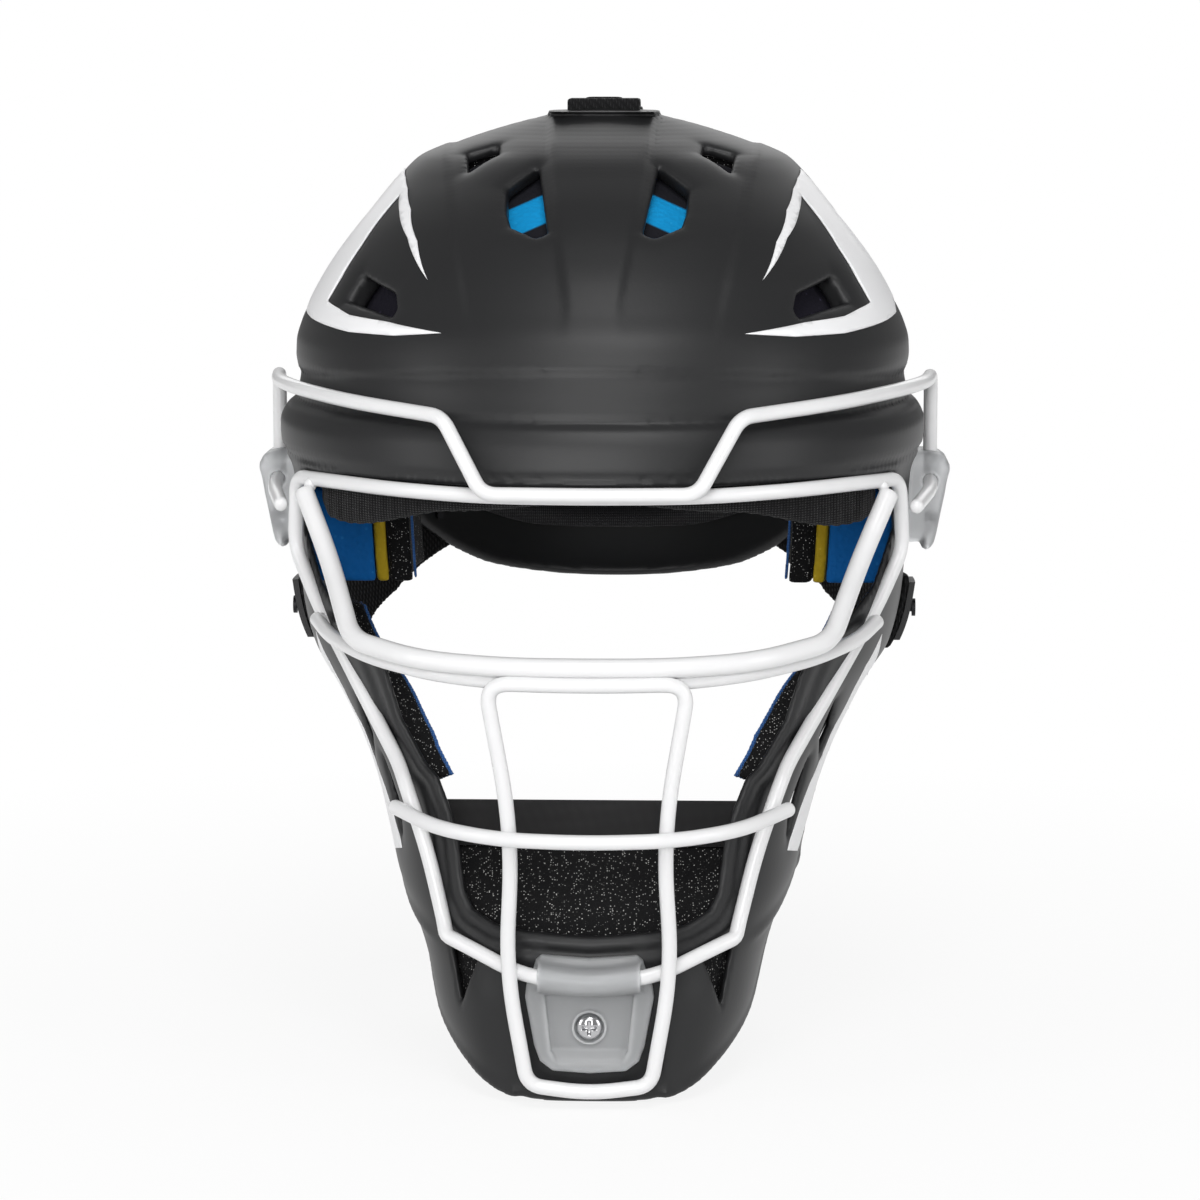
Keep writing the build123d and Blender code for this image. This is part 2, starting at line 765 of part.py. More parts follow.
def make_outer_plates(shares, rivet_place, rivet_turn):
    """Moulded plates over the two side straps, with their rivet holes."""
    outer_inset = -(lining_gap + seat_gap + strap_thickness + keeper_thickness)
    region = side_prism(shares, 0, shell_half_width + cut_overrun)
    plate = layer_piece(outer_inset, keeper_thickness, plate_levels, region)
    return both_sides(plate - rivet_pin(rivet_radius / 2 + screw_gap, rivet_place, rivet_turn, 2 * rivet_length))


def make_rivets(place, turn):
    """Rivets through keeper, strap and wall on both sides, with their heads outside."""
    x, y, z = place
    out = lining_gap + seat_gap + strap_thickness + keeper_thickness
    lie = Rot(0, 90, 0)
    shank = Pos(out - rivet_length / 2, 0, 0) * lie * Cylinder(rivet_radius / 2, rivet_length)
    neck = Pos(out + rivet_proud / 2, 0, 0) * lie * Cylinder(rivet_radius / 2, rivet_proud)
    head = Pos(out + rivet_head / 2 + rivet_proud, 0, 0) * lie * Cylinder(rivet_radius, rivet_head)
    return both_sides(Pos(x, y, z) * Rot(0, 0, turn) * (shank + neck + head))


def make_pieces():
    """Every piece of the helmet by name."""
    split = crown_split_x
    top = shell_height
    yellow_inset = lining + blue_foam + layer_gap
    liner_inset = yellow_inset + yellow_foam + layer_gap
    pieces = {
        "main_shell": make_main_shell(),
        "brow_wire": round_wire(brow_wire_shares, thin_wire_diameter),
        "perimeter_wire": round_wire(perimeter_wire_shares, thin_wire_diameter, closed=True),
        "eye_wire": round_wire(eye_wire_shares, eye_wire_diameter),
        "cross_wire": round_wire(cross_wire_shares, thin_wire_diameter),
        "nose_wire": round_wire(nose_wire_shares, thin_wire_diameter, closed=True),
        "mouth_wire": round_wire(mouth_wire_shares, thin_wire_diameter),
        "side_clip_right": make_side_clip(),
        "chin_clip": make_chin_clip(),
        "clip_screws": make_clip_screws(),
        "clip_nuts": make_clip_nuts(),
        "brow_pad": make_brow_pad(),
        "brow_foam_strip": make_brow_strip(),
        "front_foam": make_crown_piece((-split, -half_depth, crown_low), (split, crown_split_y, top)),
        "crown_pad": make_crown_piece((-split, crown_split_y + layer_gap, crown_low), (split, crown_back, top)),
        "side_foam_right": make_crown_piece(
            (split + layer_gap, side_foam_front, crown_low), (shell_half_width, side_foam_back, side_foam_high)
        ),
        "temple_foam_right": make_temple_layer(lining, blue_foam),
        "temple_core_right": make_temple_layer(yellow_inset, yellow_foam),
        "temple_liner_right": make_temple_layer(liner_inset, liner_foam),
        "jaw_pad_right": make_jaw_pad(),
        "chin_pad": make_chin_pad(),
        "chin_liner": make_chin_liner(),
        "strap_anchor": make_strap_anchor(),
        "crown_strap": make_crown_strap(),
        "strap_keepers": make_outer_plates(keeper_shares, keeper_rivet_place, 0),
        "keeper_rivets": make_rivets(keeper_rivet_place, 0),
        "back_plate": make_back_plate(),
        "plate_pad": make_plate_pad(),
        "plate_strap": make_plate_strap(),
        "plate_buckle": make_plate_buckle(),
        "strap_hooks": make_outer_plates(hook_shares, hook_rivet_place, hook_rivet_turn),
        "hook_rivets": make_rivets(hook_rivet_place, hook_rivet_turn),
        "side_strap_right": make_side_strap(),
    }
    for name in [name for name in pieces if name.endswith("_right")]:
        pieces[name.replace("_right", "_left")] = mirror(pieces[name], Plane.YZ)
    return pieces


# The whole helmet is set with its lowest point at Z = 0 and its depth centred on Y = 0.
pieces = make_pieces()
boxes = [piece.bounding_box() for piece in pieces.values()]
low_y = min(box.min.Y for box in boxes)
high_y = max(box.max.Y for box in boxes)
low_z = min(box.min.Z for box in boxes)
settle = Pos(0, -(low_y + high_y) / 2, -low_z)
os.makedirs("parts", exist_ok=True)
for name, piece in pieces.items():
    export_step(settle * piece, f"parts/{name}.step")
print(f"Moved by Y {-(low_y + high_y) / 2:.3f} and Z {-low_z:.3f}")
print(f"Hinge line at Y {strap_joint_y - (low_y + high_y) / 2:.3f} and Z {strap_joint_z - low_z:.3f}")
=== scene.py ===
import json
from math import atan2, cos, pi, radians, sin

import bmesh
import bpy
import numpy as np
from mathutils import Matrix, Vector
from mathutils.bvhtree import BVHTree

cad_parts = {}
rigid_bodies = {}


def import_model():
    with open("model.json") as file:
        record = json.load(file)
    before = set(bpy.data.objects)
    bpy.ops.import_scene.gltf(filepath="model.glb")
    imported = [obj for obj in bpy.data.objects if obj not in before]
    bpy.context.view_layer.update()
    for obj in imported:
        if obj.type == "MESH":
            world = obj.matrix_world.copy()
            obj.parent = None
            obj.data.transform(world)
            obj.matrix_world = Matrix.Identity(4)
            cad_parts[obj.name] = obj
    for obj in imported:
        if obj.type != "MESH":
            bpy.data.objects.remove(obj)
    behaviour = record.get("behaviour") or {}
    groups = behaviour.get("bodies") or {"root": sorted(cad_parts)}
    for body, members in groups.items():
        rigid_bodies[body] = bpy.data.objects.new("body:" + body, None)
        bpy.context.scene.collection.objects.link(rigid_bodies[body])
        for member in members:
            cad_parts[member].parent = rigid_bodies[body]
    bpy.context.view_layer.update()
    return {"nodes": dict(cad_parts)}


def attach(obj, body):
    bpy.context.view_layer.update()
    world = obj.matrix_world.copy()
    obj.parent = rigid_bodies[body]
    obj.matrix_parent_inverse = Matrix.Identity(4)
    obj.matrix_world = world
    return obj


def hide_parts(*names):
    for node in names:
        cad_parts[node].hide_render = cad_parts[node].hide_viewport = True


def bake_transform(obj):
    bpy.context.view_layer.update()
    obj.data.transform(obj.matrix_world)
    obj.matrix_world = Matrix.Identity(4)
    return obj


for item in list(bpy.data.objects):
    bpy.data.objects.remove(item)
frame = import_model()

# Catcher helmet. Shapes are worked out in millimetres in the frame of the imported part:
# +Z up, face towards -Y, origin under the chin. MM turns them into metres.
MM = 0.001
HEIGHT = 309.0
HALF_WIDTH = 108.0
HALF_DEPTH = 142.0
WALL = 3.2
PLATE_WALL = 3.0
LINING = 3.7


def spacing(fine):
    return fine


SHELL_CELL = spacing(1.25)
PAD_CELL = spacing(1.3)

# Levels of the helmet's form: height, half width, front, back, middle and squareness,
# as shares of HEIGHT, HALF_WIDTH and HALF_DEPTH
LEVELS = np.array([
    (-0.02, 0.388, -0.796, -0.14, -0.42, 2.8), (0.01, 0.406, -0.813, -0.1, -0.42, 2.8),
    (0.071, 0.472, -0.817, 0.0, -0.39, 2.8), (0.13, 0.514, -0.813, 0.11, -0.34, 2.8),
    (0.175, 0.565, -0.803, 0.2, -0.28, 2.8), (0.205, 0.606, -0.796, 0.26, -0.23, 2.7),
    (0.246, 0.64, -0.796, 0.34, -0.16, 2.6), (0.294, 0.684, -0.796, 0.42, -0.08, 2.5),
    (0.34, 0.742, -0.793, 0.55, -0.02, 2.4), (0.388, 0.822, -0.789, 0.73, 0.03, 2.3),
    (0.43, 0.9, -0.782, 0.845, 0.05, 2.2), (0.485, 0.935, -0.775, 0.9, 0.05, 2.2),
    (0.55, 0.949, -0.768, 0.935, 0.05, 2.2), (0.608, 0.958, -0.764, 0.958, 0.05, 2.2),
    (0.624, 0.97, -0.764, 0.961, 0.05, 2.2), (0.638, 0.994, -0.763, 0.963, 0.05, 2.2),
    (0.667, 1.0, -0.753, 0.965, 0.05, 2.2), (0.68, 0.986, -0.742, 0.965, 0.05, 2.2),
    (0.696, 0.949, -0.722, 0.964, 0.05, 2.2), (0.722, 0.935, -0.702, 0.961, 0.05, 2.2),
    (0.738, 0.943, -0.69, 0.956, 0.05, 2.15), (0.751, 0.943, -0.679, 0.95, 0.05, 2.15),
    (0.773, 0.929, -0.66, 0.936, 0.05, 2.15), (0.799, 0.894, -0.624, 0.914, 0.06, 2.15),
    (0.825, 0.849, -0.584, 0.885, 0.06, 2.15), (0.851, 0.799, -0.537, 0.849, 0.07, 2.15),
    (0.877, 0.744, -0.483, 0.803, 0.08, 2.15), (0.903, 0.681, -0.413, 0.74, 0.09, 2.15),
    (0.929, 0.618, -0.322, 0.655, 0.1, 2.15), (0.946, 0.565, -0.256, 0.583, 0.1, 2.1),
    (0.961, 0.468, -0.173, 0.495, 0.11, 2.1), (0.974, 0.361, -0.08, 0.4, 0.12, 2),
    (0.985, 0.25, 0.0, 0.302, 0.13, 2), (0.995, 0.12, 0.066, 0.18, 0.13, 2),
    (1.0, 0.04, 0.105, 0.155, 0.13, 2),
])


def monotone(xs, ys, at):
    """Smooth curve through points that never swings past them."""
    h = np.diff(xs)
    d = np.diff(ys) / h
    m = np.zeros_like(ys)
    m[0], m[-1] = d[0], d[-1]
    for i in range(1, len(xs) - 1):
        if d[i - 1] * d[i] > 0:
            w1 = 2 * h[i] + h[i - 1]
            w2 = h[i] + 2 * h[i - 1]
            m[i] = (w1 + w2) / (w1 / d[i - 1] + w2 / d[i])
    at = np.clip(at, xs[0], xs[-1])
    i = np.clip(np.searchsorted(xs, at) - 1, 0, len(xs) - 2)
    t = (at - xs[i]) / h[i]
    low = (1 + 2 * t) * (1 - t) ** 2 * ys[i] + t * (1 - t) ** 2 * h[i] * m[i]
    high = t * t * (3 - 2 * t) * ys[i + 1] + t * t * (t - 1) * h[i] * m[i + 1]
    return low + high


def smooth(a, b, x):
    t = np.clip((x - a) / (b - a), 0, 1)
    return t * t * (3 - 2 * t)


def bump(x, centre, width):
    return np.exp(-(((x - centre) / width) ** 2))


def round_max(a, b, r):
    """The larger of two fields, with its crease rounded over about r."""
    h = np.clip(r - np.abs(a - b), 0, None) / r
    return np.maximum(a, b) + h * h * r * 0.25


def round_min(a, b, r):
    return -round_max(-a, -b, r)


def trim(solid, *cuts):
    """A solid cut back to each field in turn, each crease rounded over the length beside its field."""
    for cut, r in cuts:
        solid = round_max(solid, cut, r)
    return solid


def level_values(z):
    share = LEVELS[:, 0] * HEIGHT
    scales = (HALF_WIDTH, HALF_DEPTH, HALF_DEPTH, HALF_DEPTH, 1.0)
    return [monotone(share, LEVELS[:, k + 1] * scales[k], z) for k in range(5)]


THROUGH = 16.0


class Room:
    """A box of evenly spaced points with the helmet's outer form measured at each."""

    def __init__(self, low, high, cell):
        self.cell = cell
        self.low = np.array(low, float)
        counts = [int(np.ceil((high[k] - low[k]) / cell)) + 1 for k in range(3)]
        axes = [(low[k] + cell * np.arange(counts[k])).astype(np.float32) for k in range(3)]
        self.x = axes[0][:, None, None]
        self.y = axes[1][None, :, None]
        self.z = axes[2][None, None, :]
        width, front, back, middle, power = [v.astype(np.float32)[None, None, :] for v in level_values(axes[2])]
        along = self.y - middle
        depth = np.where(along < 0, middle - front, back - middle)
        ratio = (np.abs(self.x) / width) ** power + (np.abs(along) / depth) ** power
        f = ratio ** (1 / power) - 1
        slope = np.gradient(f, cell)
        steep = np.sqrt(slope[0] ** 2 + slope[1] ** 2 + slope[2] ** 2) + 1e-6
        self.out = round_max(f / steep, self.z - HEIGHT - 0.8, 2.0)

    def front(self, points):
        """Signed distance to an outline seen from the front, the same on both sides."""
        return outline_distance(points, np.abs(self.x[:, 0, 0])[:, None], self.z[0, 0][None, :])[:, None, :]

    def side(self, points):
        """Signed distance to an outline seen from the side."""
        return outline_distance(points, self.y[0, :, 0][:, None], self.z[0, 0][None, :])[None, :, :]

    def through(self, points, turn, rise):
        """Signed distance to an outline that lies on the form, seen along a direction, the same on both sides."""
        a, e = radians(turn), radians(rise)
        across = (cos(a), sin(a), 0)
        up = (-sin(e) * sin(a), sin(e) * cos(a), cos(e))
        out = (cos(e) * sin(a), -cos(e) * cos(a), sin(e))
        flat = [(sum(p[k] * across[k] for k in range(3)), sum(p[k] * up[k] for k in range(3))) for p in points]
        spans = []
        found = np.full(self.out.shape, 40.0, np.float32)
        x = self.x[:, 0, 0]
        for k, axis in ((1, self.y[0, :, 0]), (2, self.z[0, 0])):
            ends = [p[k] for p in points]
            spans.append(np.flatnonzero((axis > min(ends) - THROUGH) & (axis < max(ends) + THROUGH)))
        far = max(abs(p[0]) for p in points) + THROUGH
        close = min(abs(p[0]) for p in points) - THROUGH
        columns = np.flatnonzero((np.abs(x) < far) & (np.abs(x) > close))
        if not (len(columns) and len(spans[0]) and len(spans[1])):
            return found
        x = np.abs(x[columns])[:, None, None]
        y = self.y[0, spans[0], 0][None, :, None]
        z = self.z[0, 0, spans[1]][None, None, :]
        u = x * across[0] + y * across[1]
        v = x * up[0] + y * up[1] + z * up[2]
        depth = x * out[0] + y * out[1] + z * out[2]
        middle = sum(sum(p[k] * out[k] for k in range(3)) for p in points) / len(points)
        cut = np.maximum(outline_distance(flat, u, v), np.abs(depth - middle) - THROUGH)
        found[np.ix_(columns, spans[0], spans[1])] = cut
        return found

    def box(self, low, high, r=0.0):
        """Signed distance to a box with edges rounded over r."""
        q = []
        for k, axis in enumerate((self.x, self.y, self.z)):
            q.append(np.abs(axis - (low[k] + high[k]) / 2) - (high[k] - low[k]) / 2 + r)
        outside = np.sqrt(sum(np.maximum(v, 0) ** 2 for v in q))
        return outside + np.minimum(np.maximum(np.maximum(q[0], q[1]), q[2]), 0) - r


def outline_distance(points, u, v):
    """Signed distance to a closed outline, negative inside."""
    best = np.full(np.broadcast(u, v).shape, 1e9, np.float32)
    inside = np.zeros(best.shape, bool)
    for (ax, ay), (bx, by) in zip(points, points[1:] + points[:1]):
        ex, ey = bx - ax, by - ay
        t = np.clip(((u - ax) * ex + (v - ay) * ey) / (ex * ex + ey * ey), 0, 1)
        best = np.minimum(best, (u - ax - t * ex) ** 2 + (v - ay - t * ey) ** 2)
        crosses = (ay > v) != (by > v)
        if ey != 0:
            inside ^= crosses & (u < ex * (v - ay) / ey + ax)
    return np.where(inside, -np.sqrt(best), np.sqrt(best)).astype(np.float32)


CORNERS = [(dx, dy, dz) for dx in (0, 1) for dy in (0, 1) for dz in (0, 1)]


def sample(field, room, points):
    """Field values and slopes at points, in grid steps, by straight interpolation."""
    g = (points - room.low) / room.cell
    base = np.clip(np.floor(g).astype(int), 0, np.array(field.shape) - 2)
    t = np.clip(g - base, 0, 1)
    i, j, k = base.T
    tx, ty, tz = t.T
    c = {(dx, dy, dz): field[i + dx, j + dy, k + dz] for dx, dy, dz in CORNERS}

    def mix(a, b, w):
        return a * (1 - w) + b * w

    x00, x10 = mix(c[0, 0, 0], c[1, 0, 0], tx), mix(c[0, 1, 0], c[1, 1, 0], tx)
    x01, x11 = mix(c[0, 0, 1], c[1, 0, 1], tx), mix(c[0, 1, 1], c[1, 1, 1], tx)
    value = mix(mix(x00, x10, ty), mix(x01, x11, ty), tz)
    gx = mix(mix(c[1, 0, 0] - c[0, 0, 0], c[1, 1, 0] - c[0, 1, 0], ty),
             mix(c[1, 0, 1] - c[0, 0, 1], c[1, 1, 1] - c[0, 1, 1], ty), tz)
    gy = mix(x10 - x00, x11 - x01, tz)
    gz = mix(x01, x11, ty) - mix(x00, x10, ty)
    return value, np.stack([gx, gy, gz], 1) / room.cell


def net(field, room, name, material, relax=2):
    """A closed smooth mesh where the field passes through zero."""
    field = np.asarray(field, np.float32).copy()
    for axis in range(3):
        walls = np.moveaxis(field, axis, 0)
        walls[[0, -1]] = np.maximum(walls[[0, -1]], 0.05)
    inside = field < 0
    n = np.array(field.shape) - 1
    count = sum(inside[dx:dx + n[0], dy:dy + n[1], dz:dz + n[2]].astype(np.int8) for dx, dy, dz in CORNERS)
    active = np.argwhere((count > 0) & (count < 8))
    number = np.full(n, -1)
    number[tuple(active.T)] = np.arange(len(active))
    values = [field[tuple((active + corner).T)] for corner in CORNERS]
    total = np.zeros((len(active), 3))
    hits = np.zeros(len(active))
    for a in range(8):
        for b in range(a + 1, 8):
            step = np.subtract(CORNERS[b], CORNERS[a])
            if np.abs(step).sum() != 1:
                continue
            fa, fb = values[a], values[b]
            cross = (fa < 0) != (fb < 0)
            t = np.where(cross, fa / np.where(cross, fa - fb, 1), 0)
            total += cross[:, None] * (np.array(CORNERS[a]) + t[:, None] * step)
            hits += cross
    points = room.low + room.cell * (active + total / hits[:, None])
    quads = []
    for axis in range(3):
        where = np.argwhere(np.diff(inside, axis=axis))
        u, v = (axis + 1) % 3, (axis + 2) % 3
        where = where[((where[:, [u, v]] > 0) & (where[:, [u, v]] < n[[u, v]])).all(1)]
        ring = []
        for du, dv in ((0, 0), (1, 0), (1, 1), (0, 1)):
            cell = where.copy()
            cell[:, u] -= du
            cell[:, v] -= dv
            ring.append(number[tuple(cell.T)])
        ring = np.stack(ring, 1)
        outside = ~inside[tuple(where.T)]
        ring[outside] = ring[outside][:, ::-1]
        quads.append(ring)
    quads = np.concatenate(quads)
    quads = quads[(quads >= 0).all(1)]
    for _ in range(relax):
        near = np.zeros_like(points)
        links = np.zeros(len(points))
        for a in range(4):
            b = (a + 1) % 4
            np.add.at(near, quads[:, a], points[quads[:, b]])
            np.add.at(near, quads[:, b], points[quads[:, a]])
            np.add.at(links, quads[:, a], 1)
            np.add.at(links, quads[:, b], 1)
        points = points + 0.5 * (near / np.maximum(links, 1)[:, None] - points)
        for _ in range(2):
            value, slope = sample(field, room, points)
            step = value[:, None] * slope / ((slope ** 2).sum(1)[:, None] + 0.05)
            length = np.sqrt((step ** 2).sum(1))[:, None]
            points = points - step * np.minimum(1, 0.5 * room.cell / (length + 1e-9))
    return mesh_object(name, points, quads, material)


def mesh_object(name, points, faces, material):
    """A mesh from points in millimetres."""
    mesh = bpy.data.meshes.new(name)
    faces = np.asarray(faces)
    mesh.vertices.add(len(points))
    mesh.vertices.foreach_set("co", (np.asarray(points) * MM).astype(np.float32).ravel())
    width = faces.shape[1]
    mesh.loops.add(faces.size)
    mesh.loops.foreach_set("vertex_index", faces.astype(np.int32).ravel())
    mesh.polygons.add(len(faces))
    mesh.polygons.foreach_set("loop_start", np.arange(0, faces.size, width, dtype=np.int32))
    mesh.polygons.foreach_set("loop_total", np.full(len(faces), width, np.int32))
    mesh.update(calc_edges=True)
    mesh.validate()
    mesh.polygons.foreach_set("use_smooth", np.full(len(mesh.polygons), True))
    mesh.materials.append(material)
    item = bpy.data.objects.new(name, mesh)
    bpy.context.scene.collection.objects.link(item)
    return item


def share_points(shares, across=HALF_DEPTH):
    return [(a * across, b * HEIGHT) for a, b in shares]


# Materials

SHADER = "Principled BSDF"
BLACK, WHITE = (0, 0, 0), (1, 1, 1)


class Nodes:
    """A node tree, with short ways to add to it."""

    def __init__(self, tree):
        self.tree = tree

    def feed(self, made, inputs):
        """Joins the inputs of a node, or of the node of that name, to sockets, or sets them to values."""
        made = self.tree.nodes[made] if isinstance(made, str) else made
        for key, value in inputs.items():
            if isinstance(value, bpy.types.NodeSocket):
                self.tree.links.new(value, made.inputs[key])
            else:
                made.inputs[key].default_value = value
        return made.outputs

    def add(self, kind, inputs=None, **settings):
        made = self.tree.nodes.new("ShaderNode" + kind)
        for key, value in settings.items():
            setattr(made, key, value)
        return self.feed(made, inputs or {})

    def math(self, how, *values):
        return self.add("Math", dict(enumerate(values)), operation=how)["Value"]

    def place(self, stretch=(1, 1, 1)):
        return self.add("Mapping", {"Vector": self.add("TexCoord")["Object"], "Scale": stretch})["Vector"]

    def noise(self, vector, scale, detail):
        return self.add("TexNoise", {"Vector": vector, "Scale": scale, "Detail": detail, "Roughness": 0.5})["Fac"]

    def wave(self, vector, scale, direction, distortion=0.0):
        inputs = {"Vector": vector, "Scale": scale, "Distortion": distortion}
        return self.add("TexWave", inputs, bands_direction=direction)["Fac"]

    def ramp(self, value, *stops):
        """Colours between stops, each a place and a colour."""
        made = self.tree.nodes.new("ShaderNodeValToRGB")
        elements = made.color_ramp.elements
        for index, (place, color) in ((0, stops[0]), (1, stops[-1])):
            elements[index].position = place
            elements[index].color = (*color, 1)
        for place, color in stops[1:-1]:
            elements.new(place).color = (*color, 1)
        return self.feed(made, {"Fac": value})["Color"]

    def span(self, value, low, high, start=0.0, end=1.0):
        """Maps start to end onto low to high."""
        inputs = {"Value": value, "From Min": start, "From Max": end, "To Min": low, "To Max": high}
        return self.add("MapRange", inputs)["Result"]

    def relief(self, height, strength, depth):
        bent = self.add("Bump", {"Strength": strength, "Distance": depth, "Height": height})
        self.feed(SHADER, {"Normal": bent["Normal"]})


def material(name, color, roughness, metallic=0.0, coat=0.0, sheen=0.0, specular=0.5):
    made = bpy.data.materials.new(name)
    made.use_nodes = True
    nodes = Nodes(made.node_tree)
    nodes.feed(SHADER, {
        "Base Color": (*color, 1), "Roughness": roughness, "Metallic": metallic, "Coat Weight": coat,
        "Coat Roughness": 0.12, "Sheen Weight": sheen, "Sheen Roughness": 0.4, "Specular IOR Level": specular,
    })
    return made, nodes


def hard_finish(name, color, roughness, uneven=None, grain=None, stretch=(1, 1, 1), **extra):
    """A hard surface. uneven: noise scale, detail, lowest and highest roughness.
    grain: noise scale, detail, strength and depth of its relief."""
    made, nodes = material(name, color, roughness, **extra)
    place = nodes.place(stretch)
    if uneven:
        scale, detail, low, high = uneven
        nodes.feed(SHADER, {"Roughness": nodes.span(nodes.noise(place, scale, detail), low, high)})
    if grain:
        scale, detail, strength, depth = grain
        nodes.relief(nodes.noise(place, scale, detail), strength, depth)
    return made, nodes


def metal_material(name, color, low, high):
    return hard_finish(name, color, low, (400, 3, low, high), stretch=(1, 1, 6), metallic=1.0)[0]


BAND_LOW, BAND_HIGH, BAND_SLANT = 0.27, 0.3, 0.43


def banded(nodes, color):
    """A colour in the slanting band that shows through the front vents, and black cloth above and below it."""
    parts = nodes.add("SeparateXYZ", {"Vector": nodes.place()})
    slant = nodes.math("MULTIPLY_ADD", nodes.math("ABSOLUTE", parts["X"]), BAND_SLANT, parts["Z"])
    height = nodes.span(slant, 0.0, 1.0, BAND_LOW, BAND_HIGH)
    band = nodes.ramp(height, (0.0, BLACK), (0.34, BLACK), (0.36, WHITE), (0.64, WHITE), (0.66, BLACK), (1.0, BLACK))
    return nodes.add("Mix", {0: band, 6: (0.008, 0.008, 0.012, 1), 7: color}, data_type="RGBA")[2]


def foam_material(name, color, speckle, plain_share, roughness, cell, dress=None):
    """Foam with round specks in all but a share of its cells."""
    made, nodes = material(name, color, roughness, sheen=0.04, specular=0.2)
    cells = nodes.add("TexVoronoi", {"Scale": cell, "Vector": nodes.place()})
    dots = nodes.ramp(cells["Distance"], (0.0, WHITE), (0.2, WHITE), (0.3, BLACK), (1.0, BLACK))
    chance = nodes.add("SeparateColor", {"Color": cells["Color"]})["Red"]
    few = nodes.ramp(chance, (0.0, BLACK), (plain_share, BLACK), (1.0, WHITE))
    mixed = nodes.ramp(nodes.math("MULTIPLY", dots, few), (0.0, color), (1.0, speckle))
    nodes.feed(SHADER, {"Base Color": dress(nodes, mixed) if dress else mixed})
    nodes.relief(cells["Distance"], 0.5, 0.0006)
    return made


def woven(name, color, light, across, along, roughness, sheen, strength, depth):
    """Cloth whose threads are two crossed waves, each with its scale, direction and distortion."""
    made, nodes = material(name, color, roughness, sheen=sheen, specular=0.2)
    place = nodes.place()
    threads = nodes.math("MULTIPLY", nodes.wave(place, *across), nodes.wave(place, *along))
    nodes.feed(SHADER, {"Base Color": nodes.ramp(threads, (0.0, color), (1.0, light))})
    nodes.relief(threads, strength, depth)
    return made


def knit_material(name, color, light, scale, sheen):
    return woven(name, color, light, (scale, "X"), (scale * 1.2, "Z"), 0.9, sheen, 0.7, 0.0008)


shell_black, nodes = hard_finish("shell_matte", (0.012, 0.0122, 0.013), 0.42, (14, 4, 0.4, 0.46),
                                 (1400, 2, 0.1, 0.0002), specular=0.36)
tones = nodes.ramp(nodes.noise(nodes.place(), 9, 5), (0.3, (0.011, 0.0112, 0.012)), (0.7, (0.0135, 0.0137, 0.0145)))
nodes.feed(SHADER, {"Base Color": tones})
stripe_white = hard_finish("stripe_paint", (0.82, 0.82, 0.83), 0.42, (25, 3, 0.37, 0.48),
                           (700, 2, 0.05, 0.0002), coat=0.1)[0]
wire_white = hard_finish("wire_coating", (0.74, 0.74, 0.745), 0.3, (40, 3, 0.25, 0.36),
                         (260, 3, 0.16, 0.0003), coat=0.35)[0]
# Clear plastic with a matt face. Its colour is paler on sharp convex edges, read from Pointiness: a painted highlight
# along its outward edges
frosted, nodes = hard_finish("frosted_plastic", (0.6, 0.61, 0.62), 0.36, (60, 3, 0.3, 0.42), (900, 2, 0.12, 0.0003))
tones = nodes.ramp(nodes.add("NewGeometry")["Pointiness"], (0.0, (0.44, 0.45, 0.46)), (0.5, (0.56, 0.57, 0.58)),
                   (0.56, (0.94, 0.95, 0.96)), (1.0, (0.97, 0.97, 0.98)))
nodes.feed(SHADER, {"Transmission Weight": 0.62, "IOR": 1.4, "Base Color": tones})
metal = metal_material("plated_steel", (0.52, 0.52, 0.53), 0.12, 0.28)
dark_metal = metal_material("blackened_steel", (0.03, 0.03, 0.032), 0.4, 0.55)
blue_foam = foam_material("blue_foam", (0.001, 0.105, 0.36), (0.01, 0.15, 0.44), 0.66, 0.8, 500)
yellow_foam = foam_material("yellow_foam", (0.42, 0.29, 0.012), (0.55, 0.42, 0.05), 0.66, 0.8, 600)
dark_foam = foam_material("dark_foam", (0.01, 0.009, 0.016), (0.05, 0.045, 0.08), 0.66, 0.85, 500)
# Painted light: the blue foam made brighter than elsewhere to make up for the shade inside the front vents
vent_foam_painted_light = foam_material("vent_foam_painted_light", (0.001, 0.28, 0.62), (0.01, 0.34, 0.7), 0.66, 0.8, 500, banded)
black_foam = foam_material("black_foam", (0.004, 0.004, 0.0045), (0.62, 0.62, 0.6), 0.45, 0.85, 1450)
brow_knit = knit_material("brow_knit", (0.0045, 0.0045, 0.005), (0.019, 0.019, 0.02), 330, 0.08)
chin_knit = knit_material("chin_knit", (0.01, 0.0095, 0.01), (0.024, 0.0225, 0.024), 900, 0.12)
liner_cloth = knit_material("liner_cloth", (0.006, 0.006, 0.007), (0.015, 0.0145, 0.017), 420, 0.12)
pale_cloth = knit_material("pale_cloth", (0.02, 0.09, 0.3), (0.1, 0.24, 0.55), 500, 0.1)
webbing = woven("webbing", (0.004, 0.004, 0.0045), (0.018, 0.018, 0.019), (330, "X"), (210, "DIAGONAL", 0.4),
                0.8, 0.08, 0.6, 0.0006)
moulded = hard_finish("moulded_nylon", (0.02, 0.02, 0.021), 0.5, grain=(900, 2, 0.25, 0.0003), specular=0.4)[0]


def keep(item, body, slot_name, *nodes):
    """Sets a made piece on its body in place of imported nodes."""
    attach(item, body)
    if nodes:
        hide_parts(*nodes)
    return item


# Shell

